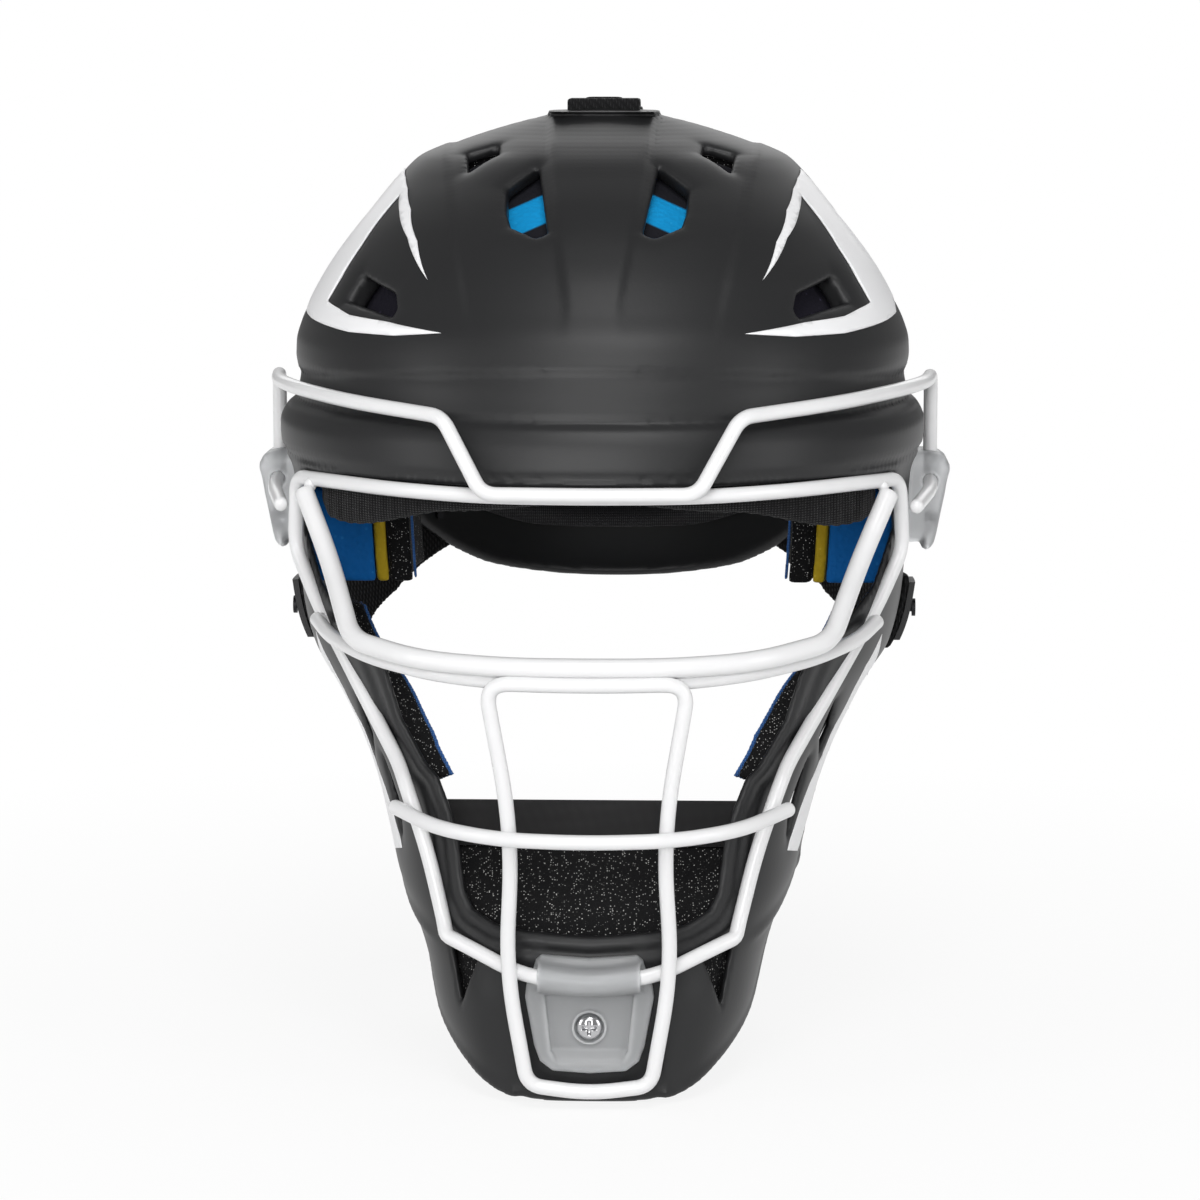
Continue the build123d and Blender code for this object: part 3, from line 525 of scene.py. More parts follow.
OPENING = share_points(
    [(0.0, 0.627), (0.72, 0.628), (0.88, 0.622), (0.89, 0.56), (0.83, 0.506), (0.735, 0.471), (0.65, 0.459),
     (0.605, 0.424), (0.563, 0.379), (0.488, 0.337), (0.451, 0.326), (0.415, 0.296), (0.388, 0.263), (0.369, 0.212),
     (0.343, 0.194), (0.278, 0.182), (0.185, 0.176), (0.0, 0.172), (-0.1, 0.172), (-0.1, 0.627)],
    HALF_WIDTH,
)
OPENING_BACK = 0.1 * HALF_DEPTH
EDGE = share_points(
    [(-1.3, 0.0), (-0.795, 0.0), (-0.77, 0.006), (-0.7, 0.026), (-0.613, 0.044), (-0.493, 0.071),
     (-0.324, 0.155), (-0.232, 0.201), (-0.141, 0.246), (-0.014, 0.34), (0.106, 0.425), (0.246, 0.456),
     (0.352, 0.48), (0.415, 0.54), (0.44, 0.63), (0.49, 0.71), (0.59, 0.79), (0.7, 0.85), (0.78, 0.88),
     (0.86, 0.91), (1.3, 0.91), (1.3, -0.3), (-1.3, -0.3)])
# Vents as outlines on the form, right side, with the turn and rise of their walls,
# and how deep their collars are
VENTS = {
    "front": ([(19.9, -35.5, 291.6), (29.7, -44.4, 284.9), (29.2, -55.0, 278.2), (27.5, -61.7, 273.7),
               (19.0, -67.4, 270.4), (15.6, -66.5, 271.8), (17.5, -53.5, 281.2)], 12, 44, 5.0),
    "upper": ([(34.1, -11.7, 297.8), (44.2, -13.2, 295.0), (43.0, -28.5, 289.8), (33.5, -20.8, 295.3)], 15, 62, 4.0),
    "side": ([(65.4, -61.8, 251.7), (76.7, -43.7, 256.1), (82.0, -45.3, 248.1), (65.8, -67.7, 244.6),
              (64.5, -66.8, 247.1)], 62, 22, 5.0),
    "jaw_upper": ([(78.7, -58.4, 119.7), (77.2, -48.5, 108.5), (73.9, -53.0, 101.5), (73.6, -60.0, 109.0)],
                  62, -10, 0.0),
    "jaw_lower": ([(69.8, -65.4, 101.5), (67.7, -66.2, 93.9), (63.1, -73.1, 77.8), (63.5, -73.6, 87.1)],
                  52, -10, 0.0),
    "chin": ([(45.3, -99.6, 49.0), (35.8, -107.7, 45.0), (41.1, -101.8, 28.3)], 25, -4, 0.0),
}
# Places in Y and Z of round holes through the shell's sides
HOLE_AT, CLIP_SCREW_AT, KEEPER_RIVET_AT = (-22.0, 122.0), (27.0, 168.0), (14.0, 140.0)
CHIN_SCREW_Z = 25.0
HIGH_VENT = share_points([(0.02, 0.88), (0.18, 0.89), (0.2, 0.84), (0.05, 0.8)])


def vent_gap(room, names):
    """Distance to the nearest of some vents."""
    return np.minimum.reduce([room.through(*VENTS[name][:3]) for name in names])


def shell_relief(room):
    """Raised and sunken lines of the shell's outer face."""
    x, y, z = np.abs(room.x), room.y, room.z
    lift = np.zeros(np.broadcast(x, y, z).shape, np.float32)
    top = smooth(236, 262, z)
    spine_half = 8.5 + 9.5 * np.clip((z - 250) / 54, 0, 1.1)
    lift += 0.9 * top * (1 - smooth(spine_half - 1.4, spine_half + 1.4, x)) * smooth(0, 60, 120 - y)
    facet = 38.9 + 12.3 * np.clip((z - 241) / 55, 0, 1.1)
    lift += 0.8 * top * smooth(facet - 1.3, facet + 1.3, x)
    crease = 229.4 - 0.0006 * x * x
    lift += 0.9 * smooth(crease - 0.9, crease + 0.7, z) * (1 - smooth(crease + 2, crease + 26, z)) * (y < 60)
    ahead = 1 - smooth(30, 60, y)
    lift -= 0.9 * ahead * bump(z, 213.8, 1.3)
    lift -= 1.3 * ahead * bump(z, 196.8, 1.3)
    low = 1 - smooth(120, 150, z)
    rim = room.front(OPENING)
    near_front = 1 - smooth(0, 20, y)
    lift += near_front * low * (0.9 * bump(rim, 3.0, 1.6) + 0.7 * bump(rim, 8.0, 1.8) - 0.5 * bump(rim, 5.5, 1.2))
    lift += near_front * smooth(165, 185, z) * 0.8 * bump(rim, 2.6, 2.0)
    edge = room.side(EDGE)
    lift += 0.7 * bump(edge, 2.2, 1.8) * (1 - smooth(70, 95, z) * (1 - smooth(215, 230, z)) * 0.3)
    lift += low * 1.0 * bump(z, 56 + 0.25 * (y + 60), 2.4) * smooth(48, 56, x)
    chin = 1 - smooth(30, 44, z)
    lift += chin * 1.4 * smooth(21.5, 24.5, x) * (1 - smooth(33, 47, x)) * near_front
    return lift


def make_shell():
    room = Room((-118, -136, -6), (118, 142, 318), SHELL_CELL)
    lift = shell_relief(room)
    cut = vent_gap(room, VENTS)
    collar = np.zeros_like(cut)
    for name, (outline, turn, rise, depth) in VENTS.items():
        if depth:
            collar = np.maximum(collar, depth * (1 - smooth(1.6, 2.8, room.through(outline, turn, rise))))
    cut = np.minimum(cut, room.side(HIGH_VENT))
    for slot in (-1, 1):
        y = 46.0 + 5.0 * slot
        along = np.maximum(np.abs(room.z - 182.0) - 8.25, 0)
        slot_cut = np.sqrt(along ** 2 + (room.y - y) ** 2) - 2.75
        cut = np.minimum(cut, np.where(np.abs(room.x) > 50, slot_cut, 50))
    for (y, z), radius in ((HOLE_AT, 2.2), (CLIP_SCREW_AT, 3.2), (KEEPER_RIVET_AT, 1.7)):
        hole = np.sqrt((room.y - y) ** 2 + (room.z - z) ** 2) - radius
        cut = np.minimum(cut, np.where(np.abs(room.x) > 50, hole, 50))
    chin_hole = np.sqrt(room.x ** 2 + (room.z - CHIN_SCREW_Z) ** 2) - 3.2
    cut = np.minimum(cut, np.maximum(chin_hole, room.y + 64.0))
    dish = 1.5 * np.exp(-np.clip(cut, 0, None) / 2.6) * smooth(40, 60, room.z)
    outer = room.out - lift + dish
    boss = np.sqrt((room.y - HOLE_AT[0]) ** 2 + (room.z - HOLE_AT[1]) ** 2) - 4.6
    boss = np.maximum(np.maximum(boss, 84.5 - np.abs(room.x)), room.out + 0.5)
    solid = round_max(outer, -(room.out + WALL + collar), 0.7)
    solid = round_min(solid, boss, 0.8)
    opening = np.maximum(room.front(OPENING), room.y - OPENING_BACK)
    solid = trim(solid, (-opening, 1.6), (-room.side(EDGE), 1.6), (-cut, 1.1))
    return net(solid, room, "shell", shell_black)


shell = keep(make_shell(), "helmet", "shell", "main_shell")


# White stripes, laid on the shell a little proud of it

AXIS_Y = 7.1
UNROLL = 90.0
STRIPE_STEP = 2.0
STRIPE_LIFT = 0.12
STRIPE_SKIN = 0.5
EDGE_DROP = 3.5
CAST_FROM = 200.0


def stripe(name, outline, tree):
    """A painted patch, outlined by points on the form, on both sides of the shell but not in its holes."""
    flat = [(atan2(y - AXIS_Y, x) * UNROLL, z) for x, y, z in outline]
    patch = bmesh.new()
    face = patch.faces.new([patch.verts.new((u, v, 0)) for u, v in flat])
    bmesh.ops.triangulate(patch, faces=[face])
    for k, normal in ((0, (1, 0, 0)), (1, (0, 1, 0))):
        for place in np.arange(min(p[k] for p in flat) + STRIPE_STEP, max(p[k] for p in flat), STRIPE_STEP):
            everything = patch.verts[:] + patch.edges[:] + patch.faces[:]
            bmesh.ops.bisect_plane(patch, geom=everything, plane_co=Vector(normal) * float(place), plane_no=normal)
    bmesh.ops.triangulate(patch, faces=patch.faces[:])
    patch.verts.index_update()
    points, depths, faces = [], [], []
    for side in (1, -1):
        first = len(points)
        for v in patch.verts:
            turn, z = v.co.x / UNROLL, v.co.y
            direction = Vector((side * cos(turn), sin(turn), 0))
            start = (Vector((0, AXIS_Y, z)) + direction * CAST_FROM) * MM
            spot, normal = tree.ray_cast(start, -direction)[:2]
            if spot is None:
                spot, normal = tree.find_nearest(start)[:2]
            points.append(spot / MM + normal * STRIPE_LIFT)
            depths.append(direction.dot(spot) / MM)
        for f in patch.faces:
            ring = [first + v.index for v in f.verts][::side]
            near = [depths[i] for i in ring]
            if max(near) - min(near) < EDGE_DROP:
                faces.append(ring)
    patch.free()
    used, faces = np.unique(faces, return_inverse=True)
    item = mesh_object(name, np.array(points)[used], faces.reshape(-1, 3), stripe_white)
    skin = item.modifiers.new("thickness", "SOLIDIFY")
    skin.thickness = STRIPE_SKIN * MM
    skin.offset = -1
    return item


CROWN_STRIPE = [
    (63.5, -9.4, 286.1), (60.0, 4.0, 288.5), (76.0, 2.0, 271.0), (88.0, 0.0, 256.0), (94.6, -4.0, 247.0),
    (96.2, -16.0, 242.4), (93.2, -31.6, 240.9), (79.1, -58.8, 238.7), (63.3, -74.2, 238.7), (47.5, -83.0, 240.2),
    (64.5, -70.5, 242.4), (79.4, -54.5, 243.6), (88.0, -35.5, 247.0), (82.9, -34.0, 254.5), (76.3, -29.5, 265.0),
    (64.6, -19.9, 281.0), (63.8, -32.0, 275.8), (60.0, -48.4, 268.2), (52.6, -67.8, 256.0), (56.4, -52.0, 267.5),
    (59.8, -35.4, 276.8), (61.6, -20.0, 283.0),
]
JAW_STRIPE = [
    (92.5, -38.0, 138.5), (87.8, -46.1, 129.3), (81.7, -44.3, 116.4), (77.9, -45.5, 108.2), (74.3, -49.5, 100.0),
    (69.9, -58.5, 92.8), (66.6, -64.8, 85.1), (64.3, -69.4, 78.4), (62.4, -73.7, 73.0), (64.5, -58.0, 70.0),
    (67.0, -46.0, 77.0), (72.0, -34.0, 86.0), (78.0, -27.5, 98.0), (84.0, -27.0, 112.0), (88.0, -29.5, 124.0),
]
shell_tree = BVHTree.FromPolygons([v.co.copy() for v in shell.data.vertices],
                                  [tuple(p.vertices) for p in shell.data.polygons])
for name, outline in (("crown_stripes", CROWN_STRIPE), ("jaw_stripes", JAW_STRIPE)):
    keep(stripe(name, outline, shell_tree), "helmet", "shell")

# Cage

SHARP = cos(radians(35))
GENTLE_SHARE = 0.45
SIDES = 20
ROUTE_STEP = 1.2


def rounded_route(points, closed, corner):
    """Points along a route with every corner rounded, the sharp ones more tightly."""
    count = len(points)
    route = []
    for index in range(count):
        point = np.array(points[index])
        if not closed and index in (0, count - 1):
            route.append(point)
            continue
        before = np.array(points[index - 1]) - point
        after = np.array(points[(index + 1) % count]) - point
        a, b = np.linalg.norm(before), np.linalg.norm(after)
        share = corner if -before.dot(after) / (a * b) < SHARP else GENTLE_SHARE
        reach = share * min(a, b)
        start = point + before / a * reach
        end = point + after / b * reach
        for t in np.linspace(0, 1, 9):
            route.append((1 - t) ** 2 * start + 2 * t * (1 - t) * point + t * t * end)
    if closed:
        route.append(route[0])
    return np.array(route)


def even(route, step):
    lengths = np.concatenate([[0], np.cumsum(np.linalg.norm(np.diff(route, axis=0), axis=1))])
    kept = np.concatenate([[True], np.diff(lengths) > 1e-6])
    at = np.linspace(0, lengths[-1], max(int(lengths[-1] / step), 4) + 1)
    return np.stack([np.interp(at, lengths[kept], route[kept, k]) for k in range(3)], 1)


def tube(name, points, radius, closed, flat_ends, corner):
    """A coated bar along a route, with domed or flat ends unless it is closed; also returns its centre line."""
    line = even(rounded_route(points, closed, corner), ROUTE_STEP)
    if closed:
        line = line[:-1]
    ahead = np.roll(line, -1, 0) - np.roll(line, 1, 0)
    if not closed:
        ahead[0], ahead[-1] = line[1] - line[0], line[-1] - line[-2]
    ahead /= np.linalg.norm(ahead, axis=1)[:, None]
    normal = np.cross(ahead[0], (0.3, 0.2, 0.93))
    frames = []
    for direction in ahead:
        normal = normal - direction * normal.dot(direction)
        normal /= np.linalg.norm(normal)
        frames.append((normal, np.cross(direction, normal)))
    stations = [(place, axes, radius) for place, axes in zip(line, frames)]
    if not closed:
        cap = [(0.93, 0.08)] if flat_ends else [(sin(t * pi / 2), 0.85 * cos(t * pi / 2)) for t in (0.35, 0.7, 0.92)]
        first = [(line[0] - ahead[0] * radius * push, frames[0], radius * size) for size, push in cap]
        last = [(line[-1] + ahead[-1] * radius * push, frames[-1], radius * size) for size, push in cap]
        stations = first + stations + last[::-1]
    turns = np.arange(SIDES) * 2 * pi / SIDES
    c, s = np.cos(turns)[:, None], np.sin(turns)[:, None]
    rings = [place + size * (c * u + s * v) for place, (u, v), size in stations]
    shift = 0
    if closed:
        gap, last_gap = rings[0] - line[0], rings[-1] - line[-1]
        shift = int(np.argmin([np.abs(np.roll(last_gap, -s, 0) - gap).sum() for s in range(SIDES)]))
    total = len(stations)
    faces = []
    for i in range(total if closed else total - 1):
        near, far = i * SIDES, (i + 1) % total * SIDES
        turn = shift if far == 0 else 0
        for s in range(SIDES):
            t = (s + 1) % SIDES
            faces.append((near + (s + turn) % SIDES, near + (t + turn) % SIDES, far + t, far + s))
    item = mesh_object(name, np.concatenate(rings), faces, wire_white)
    if not closed:
        ends = bmesh.new()
        ends.from_mesh(item.data)
        ends.verts.ensure_lookup_table()
        for start in (0, (total - 1) * SIDES):
            ends.faces.new(ends.verts[start:start + SIDES]).smooth = True
        bmesh.ops.recalc_face_normals(ends, faces=ends.faces[:])
        ends.to_mesh(item.data)
        ends.free()
    return item, line


def whole_route(half, closed):
    right = [(a * HALF_WIDTH, b * HALF_DEPTH, c * HEIGHT) for a, b, c in half]
    left = [(-x, y, z) for x, y, z in right if x > 0][::-1]
    return right + left if closed else left + right


THIN, THICK = 2.38, 3.175
WIRES = {
    "brow_wire": (THIN, False, [
        (0.0, -0.822, 0.6235), (0.31, -0.802, 0.6235), (0.432, -0.715, 0.698), (0.72, -0.53, 0.705),
        (0.905, -0.3, 0.709), (1.0, -0.075, 0.709), (1.026, 0.14, 0.708),
        (1.026, 0.141, 0.596), (1.02, -0.05, 0.592), (0.962, -0.293, 0.586)]),
    "perimeter_wire": (THIN, True, [
        (0.0, -0.789, 0.6195), (0.324, -0.76, 0.6195), (0.585, -0.655, 0.621), (0.78, -0.49, 0.6205),
        (0.909, -0.325, 0.617), (0.922, -0.275, 0.54), (0.845, -0.36, 0.485), (0.687, -0.505, 0.397),
        (0.574, -0.62, 0.336), (0.543, -0.665, 0.31), (0.482, -0.685, 0.248), (0.435, -0.715, 0.182),
        (0.424, -0.74, 0.166), (0.345, -0.778, 0.156), (0.201, -0.84, 0.136), (0.0, -0.862, 0.128)]),
    "eye_wire": (THICK, False, [
        (0.0, -0.967, 0.459), (0.24, -0.955, 0.459), (0.48, -0.9, 0.462), (0.695, -0.745, 0.472),
        (0.783, -0.53, 0.54), (0.872, -0.425, 0.606)]),
    "cross_wire": (THIN, False, [
        (0.0, -0.953, 0.4415), (0.24, -0.941, 0.443), (0.44, -0.884, 0.447), (0.64, -0.74, 0.453),
        (0.78, -0.55, 0.461), (0.84, -0.405, 0.47)]),
    "mouth_wire": (THIN, False, [
        (0.0, -0.972, 0.284), (0.25, -0.95, 0.285), (0.44, -0.855, 0.288), (0.575, -0.705, 0.296)]),
    "nose_wire": (THIN, True, [
        (0.0, -0.9845, 0.443), (0.29, -0.965, 0.444), (0.215, -0.923, 0.29), (0.24, -0.855, 0.142),
        (0.18, -0.846, 0.022), (0.0, -0.848, 0.014)]),
}
lines = {}
for name, (radius, closed, half) in WIRES.items():
    corner = 0.16 if name == "brow_wire" else 0.25
    item, lines[name] = tube(name + "_coated", whole_route(half, closed), radius, closed, name == "eye_wire", corner)
    keep(item, "helmet", "cage", name)


def heading(line, index):
    step = line[min(index + 1, len(line) - 1)] - line[max(index - 1, 0)]
    return step / np.linalg.norm(step)


SIDE_BY_SIDE = 0.88


def bead_places():
    """Where two wires cross and touch, but not where they run side by side."""
    found = []
    names = list(lines)
    for i, a in enumerate(names):
        for b in names[i + 1:]:
            gaps = np.linalg.norm(lines[a][:, None] - lines[b][None], axis=2)
            touch = WIRES[a][0] + WIRES[b][0] + 0.5
            while gaps.min() < touch:
                p, q = np.unravel_index(np.argmin(gaps), gaps.shape)
                if abs(heading(lines[a], p).dot(heading(lines[b], q))) > SIDE_BY_SIDE:
                    gaps[p] = 1e3
                    continue
                share = WIRES[a][0] / (WIRES[a][0] + WIRES[b][0])
                found.append(lines[a][p] * (1 - share) + lines[b][q] * share)
                gaps[np.linalg.norm(lines[a] - lines[a][p], axis=1) < 6.0] = 1e3
    return found


def beads():
    ball = bmesh.new()
    bmesh.ops.create_icosphere(ball, subdivisions=3, radius=1)
    unit = np.array([v.co for v in ball.verts])
    sides = np.array([[v.index for v in f.verts] for f in ball.faces])
    ball.free()
    ripple = 1 + 0.06 * np.sin(9 * unit[:, :1] + 7 * unit[:, 2:])
    chance = np.random.default_rng(4)
    points = [place + unit * chance.uniform(1.7, 2.2, 3) * ripple for place in bead_places()]
    faces = [sides + index * len(unit) for index in range(len(points))]
    return mesh_object("weld_beads", np.concatenate(points), np.concatenate(faces), wire_white)


keep(beads(), "helmet", "cage")

# Pads


def layer(room, inset, thickness, r, crown=0.0):
    """A band along the form from inset inwards, its edges rounded."""
    return round_max(room.out + inset, -(room.out + inset + thickness + crown), r)


def pad(name, low, high, inset, thickness, region, finish, slot_name, packed=None, body="helmet", r=3.0, crown=0.0,
        ripple=None, cell=None):
    """A closed pad along the form. Its inset and thickness may be numbers or functions of the room."""
    room = Room(low, high, cell or PAD_CELL)
    if callable(inset):
        inset = inset(room)
    if callable(thickness):
        thickness = thickness(room)
    shape = region(room)
    swell = crown * smooth(0, 14, -shape) if crown else 0.0
    field = round_max(layer(room, inset, thickness, r, swell), shape, r)
    if ripple is not None:
        field = field + ripple(room)
    item = net(field, room, name, finish)
    keep(item, body, slot_name, *([packed] if packed else []))


def mirrored(maker):
    """Makes a piece on the right, then on the left."""
    for side, word in ((1, "right"), (-1, "left")):
        maker(side, word)


def side_box(side, low, high):
    xs = sorted((side * low[0], side * high[0]))
    return (xs[0], low[1], low[2]), (xs[1], high[1], high[2])


def brow_region(room):
    low = 184.2 + 4.5 * bump(room.x, 0, 30) - 7.5 * smooth(44, 82, np.abs(room.x))
    box = room.box((-91.0, -140, 150), (91.0, -22, 221.5), 4.0)
    return round_max(box, low - room.z, 6.0)


pad("brow_cushion", (-100, -120, 168), (100, -12, 228), LINING, 12.0, brow_region, brow_knit, "knit", "brow_pad", r=5.0,
    crown=1.0, ripple=lambda room: 0.22 * np.sin(room.x * 1.6))
pad("brow_strip", (-14, -110, 180), (14, -80, 208), LINING + 13.2, 1.8,
    lambda room: room.box((-9.8, -142, 188), (9.8, 0, 202.5), 2.0), blue_foam, "foam_blue", "brow_foam_strip", r=0.8)


def recess(names):
    """How far a pad steps back to clear the collars of some vents."""
    return lambda room: LINING + 5.4 * (1 - smooth(3.4, 5.4, vent_gap(room, names)))


pad("front_cushion", (-50, -105, 222), (50, -4, 302), recess(["front", "upper"]), 13.0,
    lambda room: room.box((-45.5, -142, 228.5), (45.5, -8.3, 320), 3.0), vent_foam_painted_light, "foam_blue", "front_foam",
    crown=0.8)
pad("crown_cushion", (-50, -12, 250), (50, 84, 308), LINING, 13.0,
    lambda room: room.box((-45.5, -7.2, 200), (45.5, 77.5, 320), 3.0), black_foam, "foam_black", "crown_pad", crown=0.8)


def side_cushion(side, word):
    low, high = side_box(side, (44, -68, 222), (102, 78, 290))
    a, b = side_box(side, (46.8, -61.5, 228.5), (140, 71.5, 283.5))
    pad(f"side_cushion_{word}", low, high, recess(["side", "upper"]), 13.0, lambda room: room.box(a, b, 3.0),
        dark_foam, "foam_black", f"side_foam_{word}", crown=0.8)


mirrored(side_cushion)


def temple_stack(side, word):
    low, high = side_box(side, (52, -24, 140), (108, 40, 190))
    a, b = side_box(side, (30, -17.7, 152.3), (140, 33.7, 183.7))
    layers = [
        ("ear_foam", LINING, 21.0, blue_foam, "foam_blue", "temple_foam_", 1.2),
        ("ear_core", 25.1, 3.9, yellow_foam, "foam_yellow", "temple_core_", 0.9),
        ("ear_liner", 29.4, 7.6, black_foam, "foam_black", "temple_liner_", 1.6),
    ]
    for name, inset, thick, finish, slot_name, node, r in layers:
        pad(f"{name}_{word}", low, high, inset, thick, lambda room: room.box(a, b, 1.2), finish, slot_name, node + word,
            r=r, cell=spacing(1.0))
    front_edge = side_box(side, (30, -17.9, 153.5), (140, -15.4, 183.0))
    pad(f"ear_skin_{word}", low, high, 37.4, 0.9, lambda room: room.box(*front_edge, 0.4), pale_cloth, "liner_fabric",
        r=0.4, cell=spacing(0.6))


mirrored(temple_stack)
JAW_PAD = share_points([(-0.06, 0.47), (-0.22, 0.476), (-0.52, 0.36), (-0.58, 0.318), (-0.5, 0.303), (-0.3, 0.335)])


def jaw_cushion(side, word):
    low, high = side_box(side, (38, -90, 82), (100, -2, 152))
    half = lambda room: np.maximum(room.side(JAW_PAD), 30 - side * room.x)
    deep = lambda room: 9.8 + 4.6 * smooth(104, 128, room.z)
    pad(f"jaw_cushion_{word}", low, high, LINING, deep, half, black_foam, "foam_black", f"jaw_pad_{word}", r=2.0)
    pad(f"jaw_skin_{word}", low, high, lambda room: LINING - 0.3 + deep(room), 1.1, lambda room: half(room) + 0.6,
        pale_cloth, "liner_fabric", r=0.5, cell=spacing(0.7))


mirrored(jaw_cushion)
CHIN_PAD = share_points([(-0.77, 0.035), (-0.77, 0.152), (-0.7, 0.205), (-0.53, 0.28), (-0.44, 0.28), (-0.43, 0.22),
                         (-0.52, 0.14), (-0.6, 0.06)])
CHIN_BAND = share_points([(-0.612, 0.247), (-0.53, 0.283), (-0.54, 0.292), (-0.622, 0.256)])


def chin_region(room):
    hollow = np.sqrt((room.x / 1.15) ** 2 + (room.y + 20) ** 2) - 44
    side = np.maximum(room.side(CHIN_PAD), np.abs(room.x) - 51.5)
    return round_max(side, -hollow, 6.0)


pad("chin_cushion", (-58, -116, 4), (58, -54, 94), LINING, 90.0, chin_region, black_foam, "foam_black", "chin_pad",
    r=2.5)
pad("chin_band", (-58, -112, 58), (58, -66, 98), LINING, 90.0,
    lambda room: np.maximum(room.side(CHIN_BAND), np.abs(room.x) - 51.5), chin_knit, "knit", "chin_liner", r=1.2,
    cell=spacing(0.9))

# Back plate and its pad

PLATE = share_points([(1.1, 0.409), (0.92, 0.417), (0.8, 0.458), (0.66, 0.535), (0.555, 0.62), (0.555, 0.7),
                      (0.65, 0.775), (0.755, 0.832), (0.82, 0.856), (0.9, 0.884), (1.1, 0.884)])
PLATE_PAD = share_points([(1.1, 0.455), (0.84, 0.5), (0.7, 0.56), (0.62, 0.63), (0.62, 0.69), (0.7, 0.755),
                          (0.8, 0.81), (1.1, 0.83)])
plate_room = Room((-104, 70, 124), (104, 144, 280), spacing(1.3))
plate_edge = plate_room.side(PLATE)
plate_lift = 0.8 * bump(plate_edge, -3.0, 2.0) + 0.9 * bump(plate_room.z, 205, 4) * smooth(-16, -24, plate_edge)
plate_field = trim(plate_room.out - plate_lift, (-(plate_room.out + PLATE_WALL), 0.7), (plate_edge, 1.5))
keep(net(plate_field, plate_room, "back_shell", shell_black), "back_plate", "shell", "back_plate")
pad("back_cushion", (-92, 80, 134), (92, 140, 264), PLATE_WALL + 0.5, 11.5, lambda room: room.side(PLATE_PAD) + 0.3,
    liner_cloth, "liner_fabric", "plate_pad", body="back_plate", r=4.0, crown=0.6)

# Straps


def strap(name, low, high, region, cell, nodes):
    room = Room(low, high, spacing(cell))
    field = round_max(layer(room, -2.6, 2.0, 0.9), region(room), 0.8)
    item = net(field, room, name, webbing)
    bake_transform(item)
    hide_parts(*nodes)


STRAP_HALF = 12.7


def top_strap_region(room):
    """The strap's band, kept close over the crown."""
    column = room.out[room.out.shape[0] // 2]
    tops = np.where(column < 0, room.z[0], -1e3).max(axis=1)
    lid = np.where(room.z > 296, room.z - tops[None, :, None] - 4.0, -50.0)
    return np.maximum(room.box((-STRAP_HALF, 16, 222), (STRAP_HALF, 160, 330)), lid)


strap("top_strap", (-16, 10, 216), (16, 146, 316), top_strap_region, 0.8, ["crown_strap", "plate_strap"])
SIDE_STRAP = share_points([(0.045, 0.411), (0.22, 0.404), (0.42, 0.406), (0.6, 0.436), (0.8, 0.486),
                           (0.8, 0.56), (0.6, 0.514), (0.42, 0.486), (0.22, 0.486), (0.045, 0.492)])


def side_strap(side, word):
    low, high = side_box(side, (48, 0, 118), (112, 122, 180))
    half = lambda room: np.maximum(room.side(SIDE_STRAP), 20 - side * room.x)
    strap(f"elastic_strap_{word}", low, high, half, 0.9, [f"side_strap_{word}"])


mirrored(side_strap)

# Clips and their screws

CHIN_CLIP = [(-5, 46.7), (15.0, 48.0), (16.8, 46.4), (17.8, 43.0), (19.8, 38.5), (20.3, 34.5), (17.4, 19.0),
             (15.6, 14.0), (11.6, 11.0), (-5, 10.0)]
CHIN_POCKET = [(-5, 35.5), (13.9, 35.5), (12.0, 17.6), (9.9, 14.2), (-5, 14.0)]
SIDE_CLIP = [
    (95.0, 193.6), (110.3, 193.6), (113.8, 192.8), (115.9, 191.3), (117.2, 188.8), (117.4, 187.2),
    (116.4, 183.5), (115.6, 178.6), (114.6, 173.7), (112.9, 165.0), (112.1, 162.1), (110.9, 160.5),
    (109.5, 159.8), (108.2, 160.5), (107.1, 162.6), (95.0, 162.1),
]


def wire_distance(room, line):
    """Distance to the centre line of a wire."""
    best = np.full(np.broadcast(room.x, room.y, room.z).shape, 1e6, np.float32)
    for a, b in zip(line, line[1:]):
        run = b - a
        t = ((room.x - a[0]) * run[0] + (room.y - a[1]) * run[1] + (room.z - a[2]) * run[2]) / run.dot(run)
        t = np.clip(t, 0, 1)
        gap = [axis - a[k] - t * run[k] for k, axis in enumerate((room.x, room.y, room.z))]
        best = np.minimum(best, gap[0] ** 2 + gap[1] ** 2 + gap[2] ** 2)
    return np.sqrt(best)


def make_chin_clip():
    room = Room((-24, -134, 5), (24, -98, 53), spacing(0.6))
    line = np.array([p for p in lines["perimeter_wire"] if abs(p[0]) < 26 and p[2] < 60])
    line = line[np.argsort(line[:, 0])]
    wire = wire_distance(room, line)
    plate = round_max(room.out - 4.0, 0.2 - room.out, 0.4)
    knuckle = np.maximum(wire - 4.5, np.abs(room.x) - 16.2)
    solid = round_min(plate, knuckle, 2.5)
    depth = np.clip((room.z - 14.0) * 0.5, 0, 2.0)
    pocket = np.maximum(room.front(CHIN_POCKET), 4.0 - depth - room.out)
    solid = trim(solid, (room.front(CHIN_CLIP), 1.8), (-pocket, 1.0))
    around = np.sqrt(room.x ** 2 + (room.z - CHIN_SCREW_Z) ** 2)
    ring = np.maximum(np.maximum(around - 5.5, room.out - 3.0), 0.2 - room.out)
    solid = round_min(solid, ring, 0.6)
    solid = round_max(solid, np.minimum(4.7 - around, room.out - 1.2), 0.3)
    solid = np.maximum(np.maximum(solid, 0.2 - room.out), THIN + 0.07 - wire)
    return net(solid, room, "chin_clip_clear", frosted)


